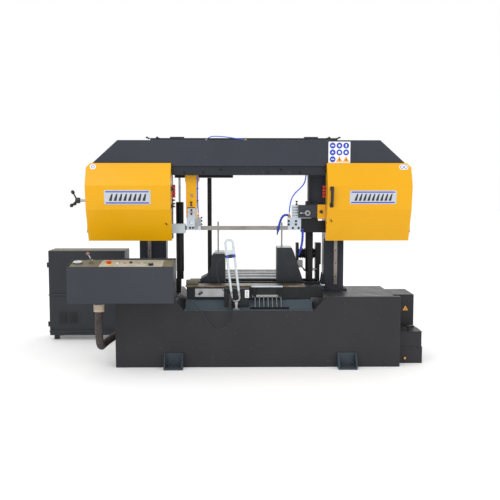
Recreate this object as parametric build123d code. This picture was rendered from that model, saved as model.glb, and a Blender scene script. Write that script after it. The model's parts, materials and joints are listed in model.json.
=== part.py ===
"""Horizontal double-column band saw: millimetres, +X right, +Y towards the infeed, +Z up.

Origin: centre of the four floor-anchor holes, on the floor. The saw is drawn with its bow raised.
"""
import math
import os

from build123d import *

# ---- driving dimensions -------------------------------------------------------------------------
base_length = 2072          # base, left to right
base_shift = -17            # base centre from the anchor centre
base_depth = 800            # base, front to rear
panel_top = 518             # top of the front panel
deck_top = 490              # deck the columns stand on
tray_rim = 416              # low edge of the front cut-out
cut_left, cut_right = -554, 388   # ends of the low edge
cut_slope_left, cut_slope_right = 82, 89  # run of the sloped ends
sheet = 6                   # base sheet
anchor_dx, anchor_dy = 1258, 890  # floor-anchor spacing
foot_width, foot_height, foot_reach = 138, 108, 90

table_top = 581             # work surface
table_left, table_right = -554, 337
table_front = -250
vise_gap = 400              # jaw opening as drawn
jaw_face_left = -263
jaw_front, jaw_depth = -30, 200
left_jaw_height, right_jaw_height = 218, 265

column_left, column_left_w = -839, 210
column_right, column_right_w = 597, 158
column_front, column_depth = 160, 140
column_top = 1675
rail_left, rail_right = -864, 610
rail_h = 22

wheel_mid, wheel_span = -76, 1764   # wheel centres: middle and distance
wheel_z, wheel_r = 1209, 209.4
blade_w, blade_t = 34, 1.2
blade_y = -70
cover_w = 622
cover_bottom, cover_top = 910, 1487
beam_bottom, beam_top = 1464, 1656
beam_front, beam_back = -200, 30
beam_left, beam_right = -1235, 1075
beam_slope = 184            # run of the cut-off top corners

console_left, console_right = -1339, -606
console_depth, console_gap = 230, 20   # front to back, and its distance from the base
console_bottom, console_low, console_high = 510, 766, 803

cabinet_w, cabinet_side = 651, 76   # width, and its distance from the base's left end
cabinet_front, cabinet_back = 608, 850
cabinet_bottom, cabinet_top = 40, 769

roller_r, roller_len, roller_pitch, roller_count = 25, 500, 195, 4

# ---- named clearances ---------------------------------------------------------------------------
run_fit = 0.05              # radial, shaft in its bore
gap = 0.5                   # between bodies that move past each other

# ---- derived ------------------------------------------------------------------------------------
base_x0, base_x1 = base_shift - base_length / 2, base_shift + base_length / 2
base_y0, base_y1 = -base_depth / 2, base_depth / 2
cabinet_right = base_x0 - cabinet_side
console_back = base_y0 - console_gap
console_front = console_back - console_depth
cabinet_left = cabinet_right - cabinet_w
blade_z = wheel_z - wheel_r - gap - blade_t / 2
blade_top_z = wheel_z + wheel_r + gap + blade_t / 2
lift = blade_z - blade_w / 2 - table_top + 4
wheel_xl, wheel_xr = wheel_mid - wheel_span / 2, wheel_mid + wheel_span / 2
cover_xl, cover_xr = wheel_xl - 10, wheel_xr
jaw_face_right = jaw_face_left + vise_gap
slope = math.atan2(console_high - console_low, console_back - console_front)
panel_drop = 12             # the control panel lies this far below the desk's rim


# ---- helpers ------------------------------------------------------------------------------------
def block(x0, x1, y0, y1, z0, z1):
    return Pos((x0 + x1) / 2, (y0 + y1) / 2, (z0 + z1) / 2) * Box(x1 - x0, y1 - y0, z1 - z0)


def rod(start, axis, radius, length):
    place = Plane(origin=start, z_dir=axis).location
    return place * Cylinder(radius, length, align=(Align.CENTER, Align.CENTER, Align.MIN))


def tube(start, axis, outer, inner, length):
    return rod(start, axis, outer, length) - rod(start, axis, inner, length)


def prism(points, axis, low, high):
    """A profile extruded along an axis: (y, z) for X, (x, z) for Y, (x, y) for Z."""
    corners = {
        "x": lambda a, b: (low, a, b),
        "y": lambda a, b: (a, low, b),
        "z": lambda a, b: (a, b, low),
    }[axis]
    way = {"x": (1, 0, 0), "y": (0, 1, 0), "z": (0, 0, 1)}[axis]
    outline = Polyline(*[corners(a, b) for a, b in points], close=True)
    return extrude(make_face(outline), amount=high - low, dir=way)


def cord(points, radius, name):
    """A round cord along straight runs joined by tangent arcs."""
    pts = [Vector(*p) for p in points]
    radii = []
    for a, b, c in zip(pts, pts[1:], pts[2:]):
        turn = math.radians((b - a).get_angle(c - b))
        radii.append(0.45 * min((b - a).length, (c - b).length) / math.tan(turn / 2))
    path = FilletPolyline(*pts, radius=radii)
    start = Plane(origin=pts[0], z_dir=pts[1] - pts[0])
    solid = sweep(start * Circle(radius), path=path)
    print(name, "length", round(path.length), "radii", [round(r) for r in radii],
          "volume/section/length", round(solid.volume / (math.pi * radius**2 * path.length), 3))
    return solid


def fuse(shapes):
    whole = shapes[0]
    for shape in shapes[1:]:
        whole += shape
    return whole


parts = {}

# ---- base ---------------------------------------------------------------------------------------
slope_l, slope_r = cut_left - cut_slope_left, cut_right + cut_slope_right
front = [(base_x0, 0), (base_x1, 0), (base_x1, panel_top), (slope_r, panel_top),
         (cut_right, tray_rim), (cut_left, tray_rim), (slope_l, panel_top), (base_x0, panel_top)]
shell = prism(front, "y", base_y0, base_y1)
lip = 40
shell -= block(base_x0 - 1, base_x1 + 1, base_y0 + lip, base_y1 + 1, deck_top, panel_top + 1)
floor_in = tray_rim - sheet
inner_left = [(base_x0 + sheet, -1), (slope_l - sheet, -1), (slope_l - sheet, deck_top - sheet),
              (base_x0 + sheet, deck_top - sheet)]
inner_right = [(slope_r + sheet, -1), (base_x1 - sheet, -1), (base_x1 - sheet, deck_top - sheet),
               (slope_r + sheet, deck_top - sheet)]
shell -= prism(inner_left, "y", base_y0 + sheet, base_y1 - sheet)
shell -= prism(inner_right, "y", base_y0 + sheet, base_y1 - sheet)
shell -= block(slope_l, slope_r, base_y0 + sheet, base_y1 - sheet, -1, floor_in)
pan_x0, pan_x1 = cut_left + 30, cut_right - 30
pan_y0, pan_y1 = table_front + 20, base_y1 - 60
pan_low = 300
shell -= block(pan_x0, pan_x1, pan_y0, pan_y1, floor_in - 1, tray_rim + 1)
sleeve_end = (base_x0, -130, 215)   # where the hose sleeve enters the base
sleeve_r = 28
parts["base_shell"] = shell

flange = 16
pan = block(pan_x0, pan_x1, pan_y0, pan_y1, pan_low, tray_rim)
pan += block(pan_x0 - flange, pan_x1 + flange, pan_y0 - flange / 2, pan_y1 + flange / 2, tray_rim,
             tray_rim + 3)
pan -= block(pan_x0 + 3, pan_x1 - 3, pan_y0 + 3, pan_y1 - 3, pan_low + 3, tray_rim + 4)
# the apron: a flat ledge behind the rim, then a slope up to the bed
ledge_y = base_y0 + 68
apron_y0, apron_y1, apron_rise = base_y0 + 2, table_front + 9, 57
apron = [(apron_y0, tray_rim), (ledge_y, tray_rim), (apron_y1, tray_rim + apron_rise),
         (apron_y1, tray_rim + apron_rise + 3), (ledge_y, tray_rim + 3), (apron_y0, tray_rim + 3)]
pan += prism(apron, "x", cut_left + 3, cut_right - 3)
pan += block(cut_left + 3, cut_right - 3, apron_y1 - 3, apron_y1, tray_rim, tray_rim + apron_rise)
pan += block(pan_x0, pan_x1, apron_y1 - 3, pan_y0, tray_rim, tray_rim + 3)
parts["chip_tray"] = pan

feet = []
for sx in (-1, 1):
    for sy in (-1, 1):
        cx, cy = sx * anchor_dx / 2, sy * anchor_dy / 2
        wall_y = sy * base_depth / 2
        far_y = sy * (base_depth / 2 + foot_reach)
        y0, y1 = min(wall_y, far_y), max(wall_y, far_y)
        foot = block(cx - foot_width / 2, cx + foot_width / 2, y0, y1, 0, 12)
        profile = [(wall_y, 0), (far_y, 0), (far_y, 30), (wall_y + sy * 25, foot_height),
                   (wall_y, foot_height)]
        for side in (cx - foot_width / 2, cx + foot_width / 2 - 10):
            foot += prism(profile, "x", side, side + 10)
        back_y0, back_y1 = min(wall_y, wall_y + sy * 8), max(wall_y, wall_y + sy * 8)
        foot += block(cx - foot_width / 2, cx + foot_width / 2, back_y0, back_y1, 0, foot_height)
        foot -= rod((cx, cy, -1), (0, 0, 1), 9, 14)
        feet.append(foot)
parts["foot_brackets"] = Compound(children=feet)

# ---- bed, table and vise ways --------------------------------------------------------------------
bed_back = jaw_front + jaw_depth + 20
bed_low = tray_rim + 3
bed_x0, bed_x1 = table_left + 8, 470
trough = (jaw_face_left + 2, 462, jaw_front + 20, jaw_front + jaw_depth - 20)
guide_z = table_top - 41
groove_y0, groove_y1 = blade_y - 45, jaw_front - 2
bed = block(bed_x0, bed_x1, table_front + 10, bed_back, bed_low + 60, table_top - 12)
bed -= block(bed_x0 + 12, bed_x1 - 12, table_front + 22, groove_y0 - 12, bed_low, table_top - 30)
bed += block(bed_x0, bed_x1, groove_y1, bed_back, table_top - 20, table_top)
groove_depth = 50           # the guides and the coolant nozzle come down into it
bed -= block(bed_x0 - 1, bed_x1 + 1, groove_y0, groove_y1, table_top - groove_depth, table_top + 1)
well = (286, 346, blade_y - 66, blade_y - 26)   # lets the hanging hose drop into the tray
bed -= block(*well, bed_low - 1, table_top + 1)
bed -= block(*trough, table_top - 82, table_top + 1)
for leg_x in (bed_x0, (bed_x0 + cut_right) / 2 - 30, cut_right - 70):
    for leg_y in (table_front + 10, bed_back - 40):
        bed += block(leg_x, leg_x + 60, leg_y, leg_y + 40, bed_low, bed_low + 62)
guide_r, guide_ys = 15, (jaw_front + 55, jaw_front + jaw_depth - 55)
screw_y, screw_r = jaw_front + jaw_depth / 2, 12
for y in guide_ys:
    bed -= rod((trough[0] - 40, y, guide_z), (1, 0, 0), guide_r, 900)
bed -= rod((trough[0] - 40, screw_y, guide_z), (1, 0, 0), screw_r, 900)
# right of the cut-out the bed lies on the deck
bed -= block(cut_right - 8, bed_x1 + 1, table_front, bed_back + 1, bed_low - 1, deck_top)
parts["bed_frame"] = bed

drop_x0, drop_x1 = -65, 169
plates = []
for x0, x1 in ((table_left, drop_x0 - 1), (drop_x1 + 1, table_right)):
    plates.append(block(x0, x1, table_front, groove_y0, table_top - 12, table_top))
plates.append(block(drop_x0, drop_x1, table_front - 10, groove_y0, table_top - 12, table_top))
plates[1] -= block(*well, table_top - 13, table_top + 1)
parts["table_plates"] = Compound(children=plates)

ways = [rod((trough[0] - 40, y, guide_z), (1, 0, 0), guide_r, 760) for y in guide_ys]
ways.append(rod((trough[0] - 40, screw_y, guide_z), (1, 0, 0), screw_r, 820))
parts["vise_ways"] = Compound(children=ways)

# ---- outfeed front ------------------------------------------------------------------------------
front_y = table_front + 10
plate = block(-483, -268, front_y - 12, front_y, 497, 559) - rod((-433, front_y - 13, 528), (0, 1, 0), 8, 14)
head = block(-268, -80, front_y - 32, front_y, tray_rim + 68, table_top - 12.5)
head += block(-262, -83, base_y0 + 78, front_y, table_top - 22, table_top - 12.5)
head += block(-262, -83, base_y0 + 78, base_y0 + 86, tray_rim + 17, table_top - 12.5)
head += block(-80, 200, front_y - 8, front_y, 479, table_top - 12.5)
parts["outfeed_front"] = Compound(children=[plate, head])
fin_top, fin_low, fin_t = 508, 430, 7
fins = block(-75, 211, base_y0 + 55, base_y0 + 67, tray_rim + 3, fin_low + 4)
for i in range(7):
    x = -37 + 32 * i
    web = [(front_y - 8, fin_top), (front_y - 8, fin_top - 30), (base_y0 + 66, fin_low - 4),
           (base_y0 + 58, fin_low + 4)]
    fins += prism(web, "x", x - fin_t / 2, x + fin_t / 2)
for x in (-42, 149):
    fins += block(x - 14, x + 14, front_y - 26, front_y - 8, fin_top - 10, table_top - 13)
fins += block(-60, 190, front_y - 14, front_y - 8, fin_top - 14, fin_top + 4)
parts["outfeed_grate"] = fins

# ---- columns ------------------------------------------------------------------------------------
columns = []
for cx, w in ((column_left, column_left_w), (column_right, column_right_w)):
    col = block(cx - w / 2, cx + w / 2, column_front, column_front + column_depth, deck_top, column_top)
    col -= block(cx - w / 2 + 10, cx + w / 2 - 10, column_front + 10, column_front + column_depth - 10,
                 deck_top + 14, column_top - 10)
    col += block(cx - w / 2 - 25, cx + w / 2 + 25, column_front - 40, column_front + column_depth + 30,
                 deck_top, deck_top + 14)
    inner = 1 if cx < 0 else -1
    x = cx + inner * w / 2
    rib = [(x, deck_top + 14), (x + inner * 24, deck_top + 14), (x + inner * 6, deck_top + 130),
           (x, deck_top + 130)]
    for y in (column_front + 12, column_front + column_depth - 24):
        col += prism(rib, "y", y, y + 12)
    columns.append(col)
tie_x0, tie_x1 = -851, 620
tie = block(tie_x0, tie_x1, column_front - 5, column_front + column_depth, column_top, column_top + 18)
for x in (-646, 416):
    tie += block(x - 55, x + 55, column_front + 50, column_front + 100, column_top + 18, column_top + 31)
parts["columns"] = Compound(children=columns + [tie])
rail_low, rail_high = deck_top + 46, column_top - 20
rails = []
for x in (rail_left, rail_right):
    prof = [(-14, 0), (-14, -8), (-9, -12), (-14, -17), (-14, -rail_h), (14, -rail_h), (14, -17),
            (9, -12), (14, -8), (14, 0)]
    rails.append(prism([(x + a, column_front + b) for a, b in prof], "z", rail_low, rail_high))
parts["column_rails"] = Compound(children=rails)

# ---- lift cylinders -----------------------------------------------------------------------------
ram_y, ram_r, ram_bore, ram_rod = 80, 30, 24, 9
ram_low, ram_top = 653, 1194
ram_xs = (-617, 394)
rams = []
for x in ram_xs:
    ram = rod((x, ram_y, ram_low), (0, 0, 1), ram_r, ram_top - ram_low)
    ram -= rod((x, ram_y, ram_low + 18), (0, 0, 1), ram_bore, ram_top - ram_low - 38)
    ram -= rod((x, ram_y, ram_top - 21), (0, 0, 1), ram_rod + run_fit, 22)
    foot_z = deck_top if x < 0 else table_top
    ram += block(x - 26, x + 26, ram_y - 26, ram_y + 26, ram_low - 60, ram_low)
    if x < 0:
        ram += block(x - 40, x + 8, ram_y - 30, ram_y + 30, foot_z, ram_low - 60)
        ram += block(x - 75, x + 8, ram_y - 45, ram_y + 45, foot_z, foot_z + 14)
    else:
        ram += block(x - 18, x + 30, ram_y - 30, ram_y + 30, foot_z, ram_low - 60)
    rams.append(ram)
parts["lift_cylinders"] = Compound(children=rams)

# ---- jaws ---------------------------------------------------------------------------------------
jaw_back = jaw_front + jaw_depth
jl = jaw_face_left
lj_top = table_top + left_jaw_height
profile = [(jl, table_top), (jl, lj_top - 8), (jl - 8, lj_top), (jl - 80, lj_top), (jl - 101, lj_top - 14),
           (jl - 101, lj_top - 70), (jl - 140, table_top + 48), (jl - 192, table_top + 22),
           (jl - 192, table_top)]
jaw = prism(profile, "y", jaw_front, jaw_back)
jaw += block(jl - 82, jl - 8, jaw_front + 10, jaw_back - 10, lj_top - 1, lj_top + 12)
jaw += rod((jl - 55, jaw_front + 100, lj_top + 11), (0, 0, 1), 6, 232)
parts["fixed_jaw"] = jaw
jr = jaw_face_right
rj_low, rj_top = table_top + gap, table_top + right_jaw_height
profile = [(jr, rj_low), (jr, rj_top), (jr + 113, rj_top), (jr + 128, rj_top - 30),
           (jr + 195, rj_low + 30), (jr + 203, rj_low)]
jaw = prism(profile, "y", jaw_front, jaw_back)
jaw += rod((jr + 41, jaw_front + 100, rj_top - 1), (0, 0, 1), 6, 190)
slide = block(jr + 13, jr + 193, trough[2] + gap, trough[3] - gap, table_top - 80, rj_low + 1)
for y in guide_ys:
    slide -= rod((jr + 10, y, guide_z), (1, 0, 0), guide_r + run_fit, 190)
slide -= rod((jr + 10, screw_y, guide_z), (1, 0, 0), screw_r + 1, 190)
parts["moving_jaw"] = jaw + slide

drive_y0 = bed_back
drive = rod((306, drive_y0 + 38, 779), (1, 0, 0), 36, 190)
for x0, x1 in ((300, 322), (455, 500)):
    drive += block(x0, x1, drive_y0, drive_y0 + 76, 692, 866)
for i in range(7):
    drive += rod((334 + 17 * i, drive_y0 + 38, 779), (1, 0, 0), 42, 7)
drive += block(455, 490, drive_y0 + 5, drive_y0 + 70, deck_top, 692)
parts["vise_drive"] = drive

post = block(-407, -374, 204, 237, deck_top - 70, 1382)
post += block(-422, -359, 192, 249, tray_rim - 3, tray_rim + 17) - block(-470, -300, 150, 260, 0, tray_rim)
parts["limit_post"] = post

# ---- infeed roller track ------------------------------------------------------------------------
track_x0 = jaw_face_left - 27
track_x1 = track_x0 + roller_len
first_y = jaw_back + 62
roller_z = table_top + 3 - roller_r
last_y = first_y + (roller_count - 1) * roller_pitch
side_y0, side_y1 = jaw_back + 22, last_y + 40
frame_parts = []
for x0 in (track_x0 - 8 - gap, track_x1 + gap):
    side = block(x0, x0 + 8, side_y0, side_y1, table_top - 90, table_top - 2)
    side += block(x0, x0 + 8, side_y1 - 60, side_y1, 0, table_top - 80)
    frame_parts.append(side)
for y in (base_y1 - 22, side_y1 - 40):
    frame_parts.append(block(track_x0 - 4, track_x1 + 4, y, y + 20, table_top - 88, table_top - 60))
frame_parts.append(block(track_x0 - 4, track_x1 + 4, side_y1 - 40, side_y1 - 20, 120, 150))
rest = block(track_x0 - 8, track_x1 + 8, base_y1 - 52, base_y1, tray_rim, table_top - 88)
rest -= block(track_x0 + 20, track_x1 - 20, base_y1 - 53, base_y1 + 1, tray_rim + 20, table_top - 100)
frame_parts.append(rest)
infeed = fuse(frame_parts)
for i in range(roller_count):
    y = first_y + i * roller_pitch
    infeed -= rod((track_x0 - 20, y, roller_z), (1, 0, 0), 8 + run_fit, roller_len + 40)
    body = rod((track_x0, y, roller_z), (1, 0, 0), roller_r, roller_len)
    body -= rod((track_x0 + 12, y, roller_z), (1, 0, 0), roller_r - 4, roller_len - 24)
    body += rod((track_x0 - 8, y, roller_z), (1, 0, 0), 8, roller_len + 16)
    parts[f"roller_{i + 1}"] = body
parts["infeed_frame"] = infeed

# ---- side box and coolant tank ------------------------------------------------------------------
side_x1 = base_x1 + 165
parts["side_box"] = (block(base_x1, side_x1, -100, 217, 253, deck_top)
                     - block(base_x1 + 3, side_x1 - 3, -97, 214, 256, deck_top - 3))
tank_x1, tank_y0, tank_y1, tank_top = base_x1 + 186, -283, 200, 236
tank = block(base_x1, tank_x1, tank_y0, tank_y1, 0, tank_top)
tank += block(base_x1, tank_x1 + 5, tank_y0 - 4, tank_y1, 0, 125)
tank -= block(base_x1 + 4, tank_x1 - 4, tank_y0 + 4, tank_y1 - 4, 6, tank_top + 1)
lid_axis_y, lid_axis_z = -115, tank_top + 8
tank += block(base_x1, tank_x1, -108, tank_y1, tank_top - 4, tank_top)
for x in (base_x1 + 20, tank_x1 - 50):
    tank += block(x, x + 12, lid_axis_y - 6, lid_axis_y + 16, tank_top - 4, lid_axis_z)
    tank += rod((x, lid_axis_y, lid_axis_z), (1, 0, 0), 6, 12)
    tank += rod((x, lid_axis_y, lid_axis_z), (1, 0, 0), 3, 30)
parts["coolant_tank"] = tank
lid = block(base_x1 + 1, tank_x1 + 1, tank_y0 - 1, lid_axis_y - 8, tank_top + gap, tank_top + 3.5)
lid += rod(((base_x1 + tank_x1) / 2, tank_y0 + 20, tank_top + 3), (0, 0, 1), 9, 16)
for x in (base_x1 + 20, tank_x1 - 50):
    lid += block(x + 13, x + 29, lid_axis_y - 20, lid_axis_y, tank_top + gap, lid_axis_z)
    lid += rod((x + 13, lid_axis_y, lid_axis_z), (1, 0, 0), 6, 16)
    lid -= rod((x + 12, lid_axis_y, lid_axis_z), (1, 0, 0), 3 + run_fit, 19)
parts["tank_lid"] = lid

# ---- cabinet ------------------------------------------------------------------------------------
cab = block(cabinet_left, cabinet_right, cabinet_front, cabinet_back, cabinet_bottom, cabinet_top)
cab -= block(cabinet_left + 3, cabinet_right - 3, cabinet_front - 1, cabinet_back - 3,
             cabinet_bottom + 3, cabinet_top - 3)
for x in (cabinet_left + 30, cabinet_right - 70):
    for y in (cabinet_front + 20, cabinet_back - 60):
        cab += block(x, x + 40, y, y + 40, 0, cabinet_bottom)
pin_x, pin_y = cabinet_left - 8, cabinet_front - 9
for z in (cabinet_bottom + 90, cabinet_top - 130):
    cab += block(pin_x - 5, cabinet_left + 20, pin_y + 8, cabinet_front, z - 14, z)
    cab += block(pin_x - 5, pin_x + 5, pin_y - 5, pin_y + 9, z - 14, z)
    cab += rod((pin_x, pin_y, z), (0, 0, 1), 4, 30)
parts["cabinet"] = cab
door = block(cabinet_left + 2, cabinet_right - 2, cabinet_front - 20, cabinet_front - gap,
             cabinet_bottom + 2, cabinet_top - 2)
door -= block(cabinet_left + 5, cabinet_right - 5, cabinet_front - 17, cabinet_front, cabinet_bottom + 5,
              cabinet_top - 5)
for z in (cabinet_bottom + 90, cabinet_top - 130):
    door -= block(cabinet_left, cabinet_left + 22, pin_y - 6, cabinet_front, z - 16, z + gap)
    door += block(pin_x, cabinet_left + 5, pin_y - 5, pin_y + 5, z + gap, z + 30)
    door += rod((pin_x, pin_y, z + gap), (0, 0, 1), 7, 29)
    door -= rod((pin_x, pin_y, z), (0, 0, 1), 4 + run_fit, 32)
door += block(cabinet_right - 60, cabinet_right - 40, cabinet_front - 34, cabinet_front - 19, 380, 450)
parts["cabinet_door"] = door
duct_x, duct_y, duct_z, duct_w, duct_h = base_x0 + 60, 700, 150, 60, 80


def trunking(inset):
    half, low, high = duct_w / 2 - inset, duct_z + inset, duct_z + duct_h - inset
    run = block(duct_x - half, duct_x + half, base_y1 + inset, duct_y + half, low, high)
    return run + block(cabinet_right + inset, duct_x + half, duct_y - half, duct_y + half, low, high)


duct = trunking(0) - trunking(2)
parts["cable_duct"] = duct

# ---- console ------------------------------------------------------------------------------------
desk = [(console_front, console_bottom), (console_back, console_bottom), (console_back, console_high),
        (console_front, console_low)]
t = 3
inside = [(console_front + t, console_bottom + t), (console_back - t, console_bottom + t),
          (console_back - t, console_high + 20), (console_front + t, console_low + 20)]
con = prism(desk, "x", console_left, console_right)
con -= prism(inside, "x", console_left + t, console_right - t)
sleeve_top = (-1142, -540, 450)
con += rod((sleeve_top[0], sleeve_top[1], console_bottom - 18), (0, 0, 1), 38, 18)
con += rod((sleeve_top[0], sleeve_top[1], sleeve_top[2] - 10), (0, 0, 1), 34, 60)
con -= rod((sleeve_top[0], sleeve_top[1], sleeve_top[2] - 11), (0, 0, 1), sleeve_r, 90)
top_w = (console_back - console_front) / math.cos(slope)
under = (panel_drop + 1.5) / math.cos(slope)
edge_y0, edge_y1 = console_front + t, console_back - t
edge_z0, edge_z1 = console_low + t * math.tan(slope) - under, console_high - t * math.tan(slope) - under
shelf = [(edge_y0, edge_z0 - 12), (edge_y1, edge_z1 - 12), (edge_y1, edge_z1), (edge_y0, edge_z0)]
for x0, x1 in ((console_left + t, console_left + 12), (console_right - 12, console_right - t)):
    con += prism(shelf, "x", x0, x1)
parts["console"] = con


def on_panel(x, along):
    """A plane on the console top: x across, along up the slope from its front edge."""
    y = console_front + along * math.cos(slope) + panel_drop * math.sin(slope)
    z = console_low + along * math.sin(slope) - panel_drop * math.cos(slope)
    return Plane(origin=(x, y, z), x_dir=(1, 0, 0), z_dir=(0, -math.sin(slope), math.cos(slope)))


mid = top_w / 2
controls = {"estop": (-1068, mid), "button_white": (-1007, mid), "button_red": (-959, mid),
            "selector": (-914, mid), "button_grey": (-863, mid), "button_green": (-811, mid),
            "feed_knob": (-770, mid - 40), "valve_lever": (-1190, mid)}
stem_r = {"estop": 11, "button_white": 10, "button_red": 10, "selector": 10, "button_grey": 10,
          "button_green": 10, "feed_knob": 6, "valve_lever": 7}
panel = on_panel((console_left + console_right) / 2, mid) * Box(
    console_right - console_left - 2 * t - 1, top_w - 2 * t - 6, 3)
for name, (x, along) in controls.items():
    panel -= on_panel(x, along) * Cylinder(stem_r[name] + run_fit, 10)
panel += on_panel(-1287, mid) * Pos(0, 0, 6) * Cylinder(30, 11)
panel += on_panel(-1190, mid) * Pos(0, 0, 11) * (Cylinder(14, 20) - Cylinder(7 + run_fit, 30))
parts["console_panel"] = panel
for name, (x, along) in controls.items():
    here, r = on_panel(x, along), stem_r[name]
    stem = here * Pos(0, 0, -4) * Cylinder(r, 16)
    if name == "estop":
        piece = stem + here * Pos(0, 0, 17) * Cylinder(20, 12) + here * Pos(0, 0, 7) * Cylinder(r, 12)
    elif name.startswith("button"):
        piece = stem + here * Pos(0, 0, 6) * Cylinder(r, 6)
    elif name == "selector":
        piece = stem + here * Pos(0, 0, 7) * Cylinder(13, 8) + here * Pos(0, 0, 15) * Box(7, 26, 12)
    elif name == "feed_knob":
        piece = stem + here * Pos(0, 0, 11) * Cylinder(17, 18)
    else:
        piece = here * Pos(0, 0, 13) * Cylinder(r, 50)
        piece += here * Pos(0, 0, 28) * Cylinder(11, 12)
        tip = here * Pos(0, 0, 30) * Rot(0, -35, 0)
        piece += tip * Pos(0, 0, 22) * Cylinder(4, 44) + tip * Pos(0, 0, 50) * Cylinder(12, 24)
    parts[name] = piece
bracket = block(-1000, -700, console_back, console_back + 10, 520, 720)
bracket += block(-1000, -700, console_back, base_y0 + 30, panel_top, panel_top + 8)
for x in (-1000, -856, -710):
    bracket += prism([(console_back + 9, panel_top + 7), (base_y0 + 28, panel_top + 7),
                      (console_back + 9, 700)], "x", x, x + 10)
parts["console_bracket"] = bracket

sleeve = [sleeve_top, (-1146, -540, 268), (-1156, -424, 154), (-1160, -254, 152),
          (sleeve_end[0] + 2, sleeve_end[1], sleeve_end[2])]
parts["hose_sleeve"] = cord(sleeve, sleeve_r, "hose_sleeve")

# ---- lamp and its connector ---------------------------------------------------------------------
lamp_x, lamp_y, lamp_z = -175, base_y0 + 50, 464
lamp_foot = (block(lamp_x - 22, lamp_x + 22, lamp_y - 14, lamp_y + 14, tray_rim + 3, tray_rim + 11)
                      + block(lamp_x - 8, lamp_x + 8, lamp_y - 10, lamp_y + 2, tray_rim + 11, lamp_z)
                      + rod((lamp_x, lamp_y - 10, lamp_z), (0, 1, 0), 12, 12)
                      + rod((lamp_x, lamp_y + 1, lamp_z), (0, 1, 0), 6, 22))
lean = math.radians(6.8)
up = Vector(-math.sin(lean), 0, math.cos(lean))
side_w = 27.5
loop_len = 440
arm_y = lamp_y + 13
foot_c = Vector(lamp_x, arm_y, lamp_z) + up * 40
top_c = foot_c + up * (loop_len - 40)
across = Vector(math.cos(lean), 0, math.sin(lean))
arm = (rod(foot_c + across * side_w, up, 7, loop_len - 40)
       + rod(foot_c - across * side_w, up, 7, loop_len - 40))
for centre, end in ((top_c, 1), (foot_c, -1)):
    reach = across * side_w
    bow_line = ThreePointArc(centre - reach, centre + up * (side_w * end), centre + reach)
    arm += sweep(Plane(origin=centre - across * side_w, z_dir=up) * Circle(7), path=bow_line)
arm += rod((lamp_x, arm_y - 8, lamp_z), (0, 1, 0), 13, 16)
arm += rod(Vector(lamp_x, arm_y, lamp_z) + up * 8, up, 7, 14)
arm -= rod((lamp_x, arm_y - 10, lamp_z), (0, 1, 0), 6 + run_fit, 20)
strap = foot_c + up * 295
strap_box = Plane(origin=strap, x_dir=across, z_dir=up) * Box(72, 24, 26)
arm += strap_box
parts["lamp_arm"] = arm
lead_y = arm_y - 22
lead = [(-251, arm_y - 4, 808), (-284, lead_y, 801), (-313, lead_y, 752), (-319, lead_y, 692),
        (-308, lead_y, 634), (-284, lead_y, 580), (-254, lead_y, 538), (-221, lead_y + 2, 507),
        (-193, arm_y - 6, 489)]
parts["lamp_lead"] = cord(lead, 2.5, "lamp_lead")
plug = (-221, base_y0 - 10, tray_rim + 34)
connector = block(plug[0] - 12, plug[0] + 12, base_y0 + 28, base_y0 + 36, tray_rim + 3, plug[2] + 36)
connector += block(plug[0] - 12, plug[0] + 12, plug[1], base_y0 + 36, plug[2] + 30, plug[2] + 36)
connector += rod((plug[0], plug[1], plug[2]), (0, 0, 1), 7, 94)
connector += rod((plug[0], plug[1], plug[2] + 22), (0, 0, 1), 11, 36)
parts["lamp_base"] = Compound(children=[lamp_foot, connector])
cable = [(console_right - 1, -440, 532), (-520, -440, 516), (-440, -442, 440), (-385, -444, 345),
         (-325, -445, 285), (-262, -443, 290), (-226, -428, 345), (plug[0] - 1, -413, 400), plug]
parts["control_cable"] = cord(cable, 3.5, "control_cable")

# ---- bow: beam ----------------------------------------------------------------------------------
face = [(beam_left, beam_bottom + 26), (beam_left, beam_bottom), (beam_right, beam_bottom),
        (beam_right, beam_bottom + 26), (beam_right - beam_slope, beam_top), (beam_left + beam_slope, beam_top)]
inner_face = [(beam_left + 20, beam_bottom + 20), (beam_left + 20, beam_bottom + 10),
              (beam_right - 20, beam_bottom + 10), (beam_right - 20, beam_bottom + 20),
              (beam_right - beam_slope - 6, beam_top - 10), (beam_left + beam_slope + 6, beam_top - 10)]
beam = prism(face, "y", beam_front, beam_back)
beam -= prism(inner_face, "y", beam_front + 10, beam_back - 10)
chan_x0, chan_x1 = cover_xl + cover_w / 2 + 6, cover_xr - cover_w / 2 - 6
chan_low = 1400
channel = block(chan_x0, chan_x1, beam_front + 10, beam_back - 10, chan_low, beam_bottom)
channel -= block(chan_x0 - 1, chan_x1 + 1, beam_front + 18, beam_back - 18, chan_low + 8, beam_bottom)
beam += channel
tee = [(-35, -20), (35, -20), (35, -10), (15, -10), (15, 0), (-15, 0), (-15, -10), (-35, -10)]
beam += prism([(blade_y + a, chan_low + b) for a, b in tee], "x", chan_x0 + 10, -200)
parts["bow_beam"] = beam

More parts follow.
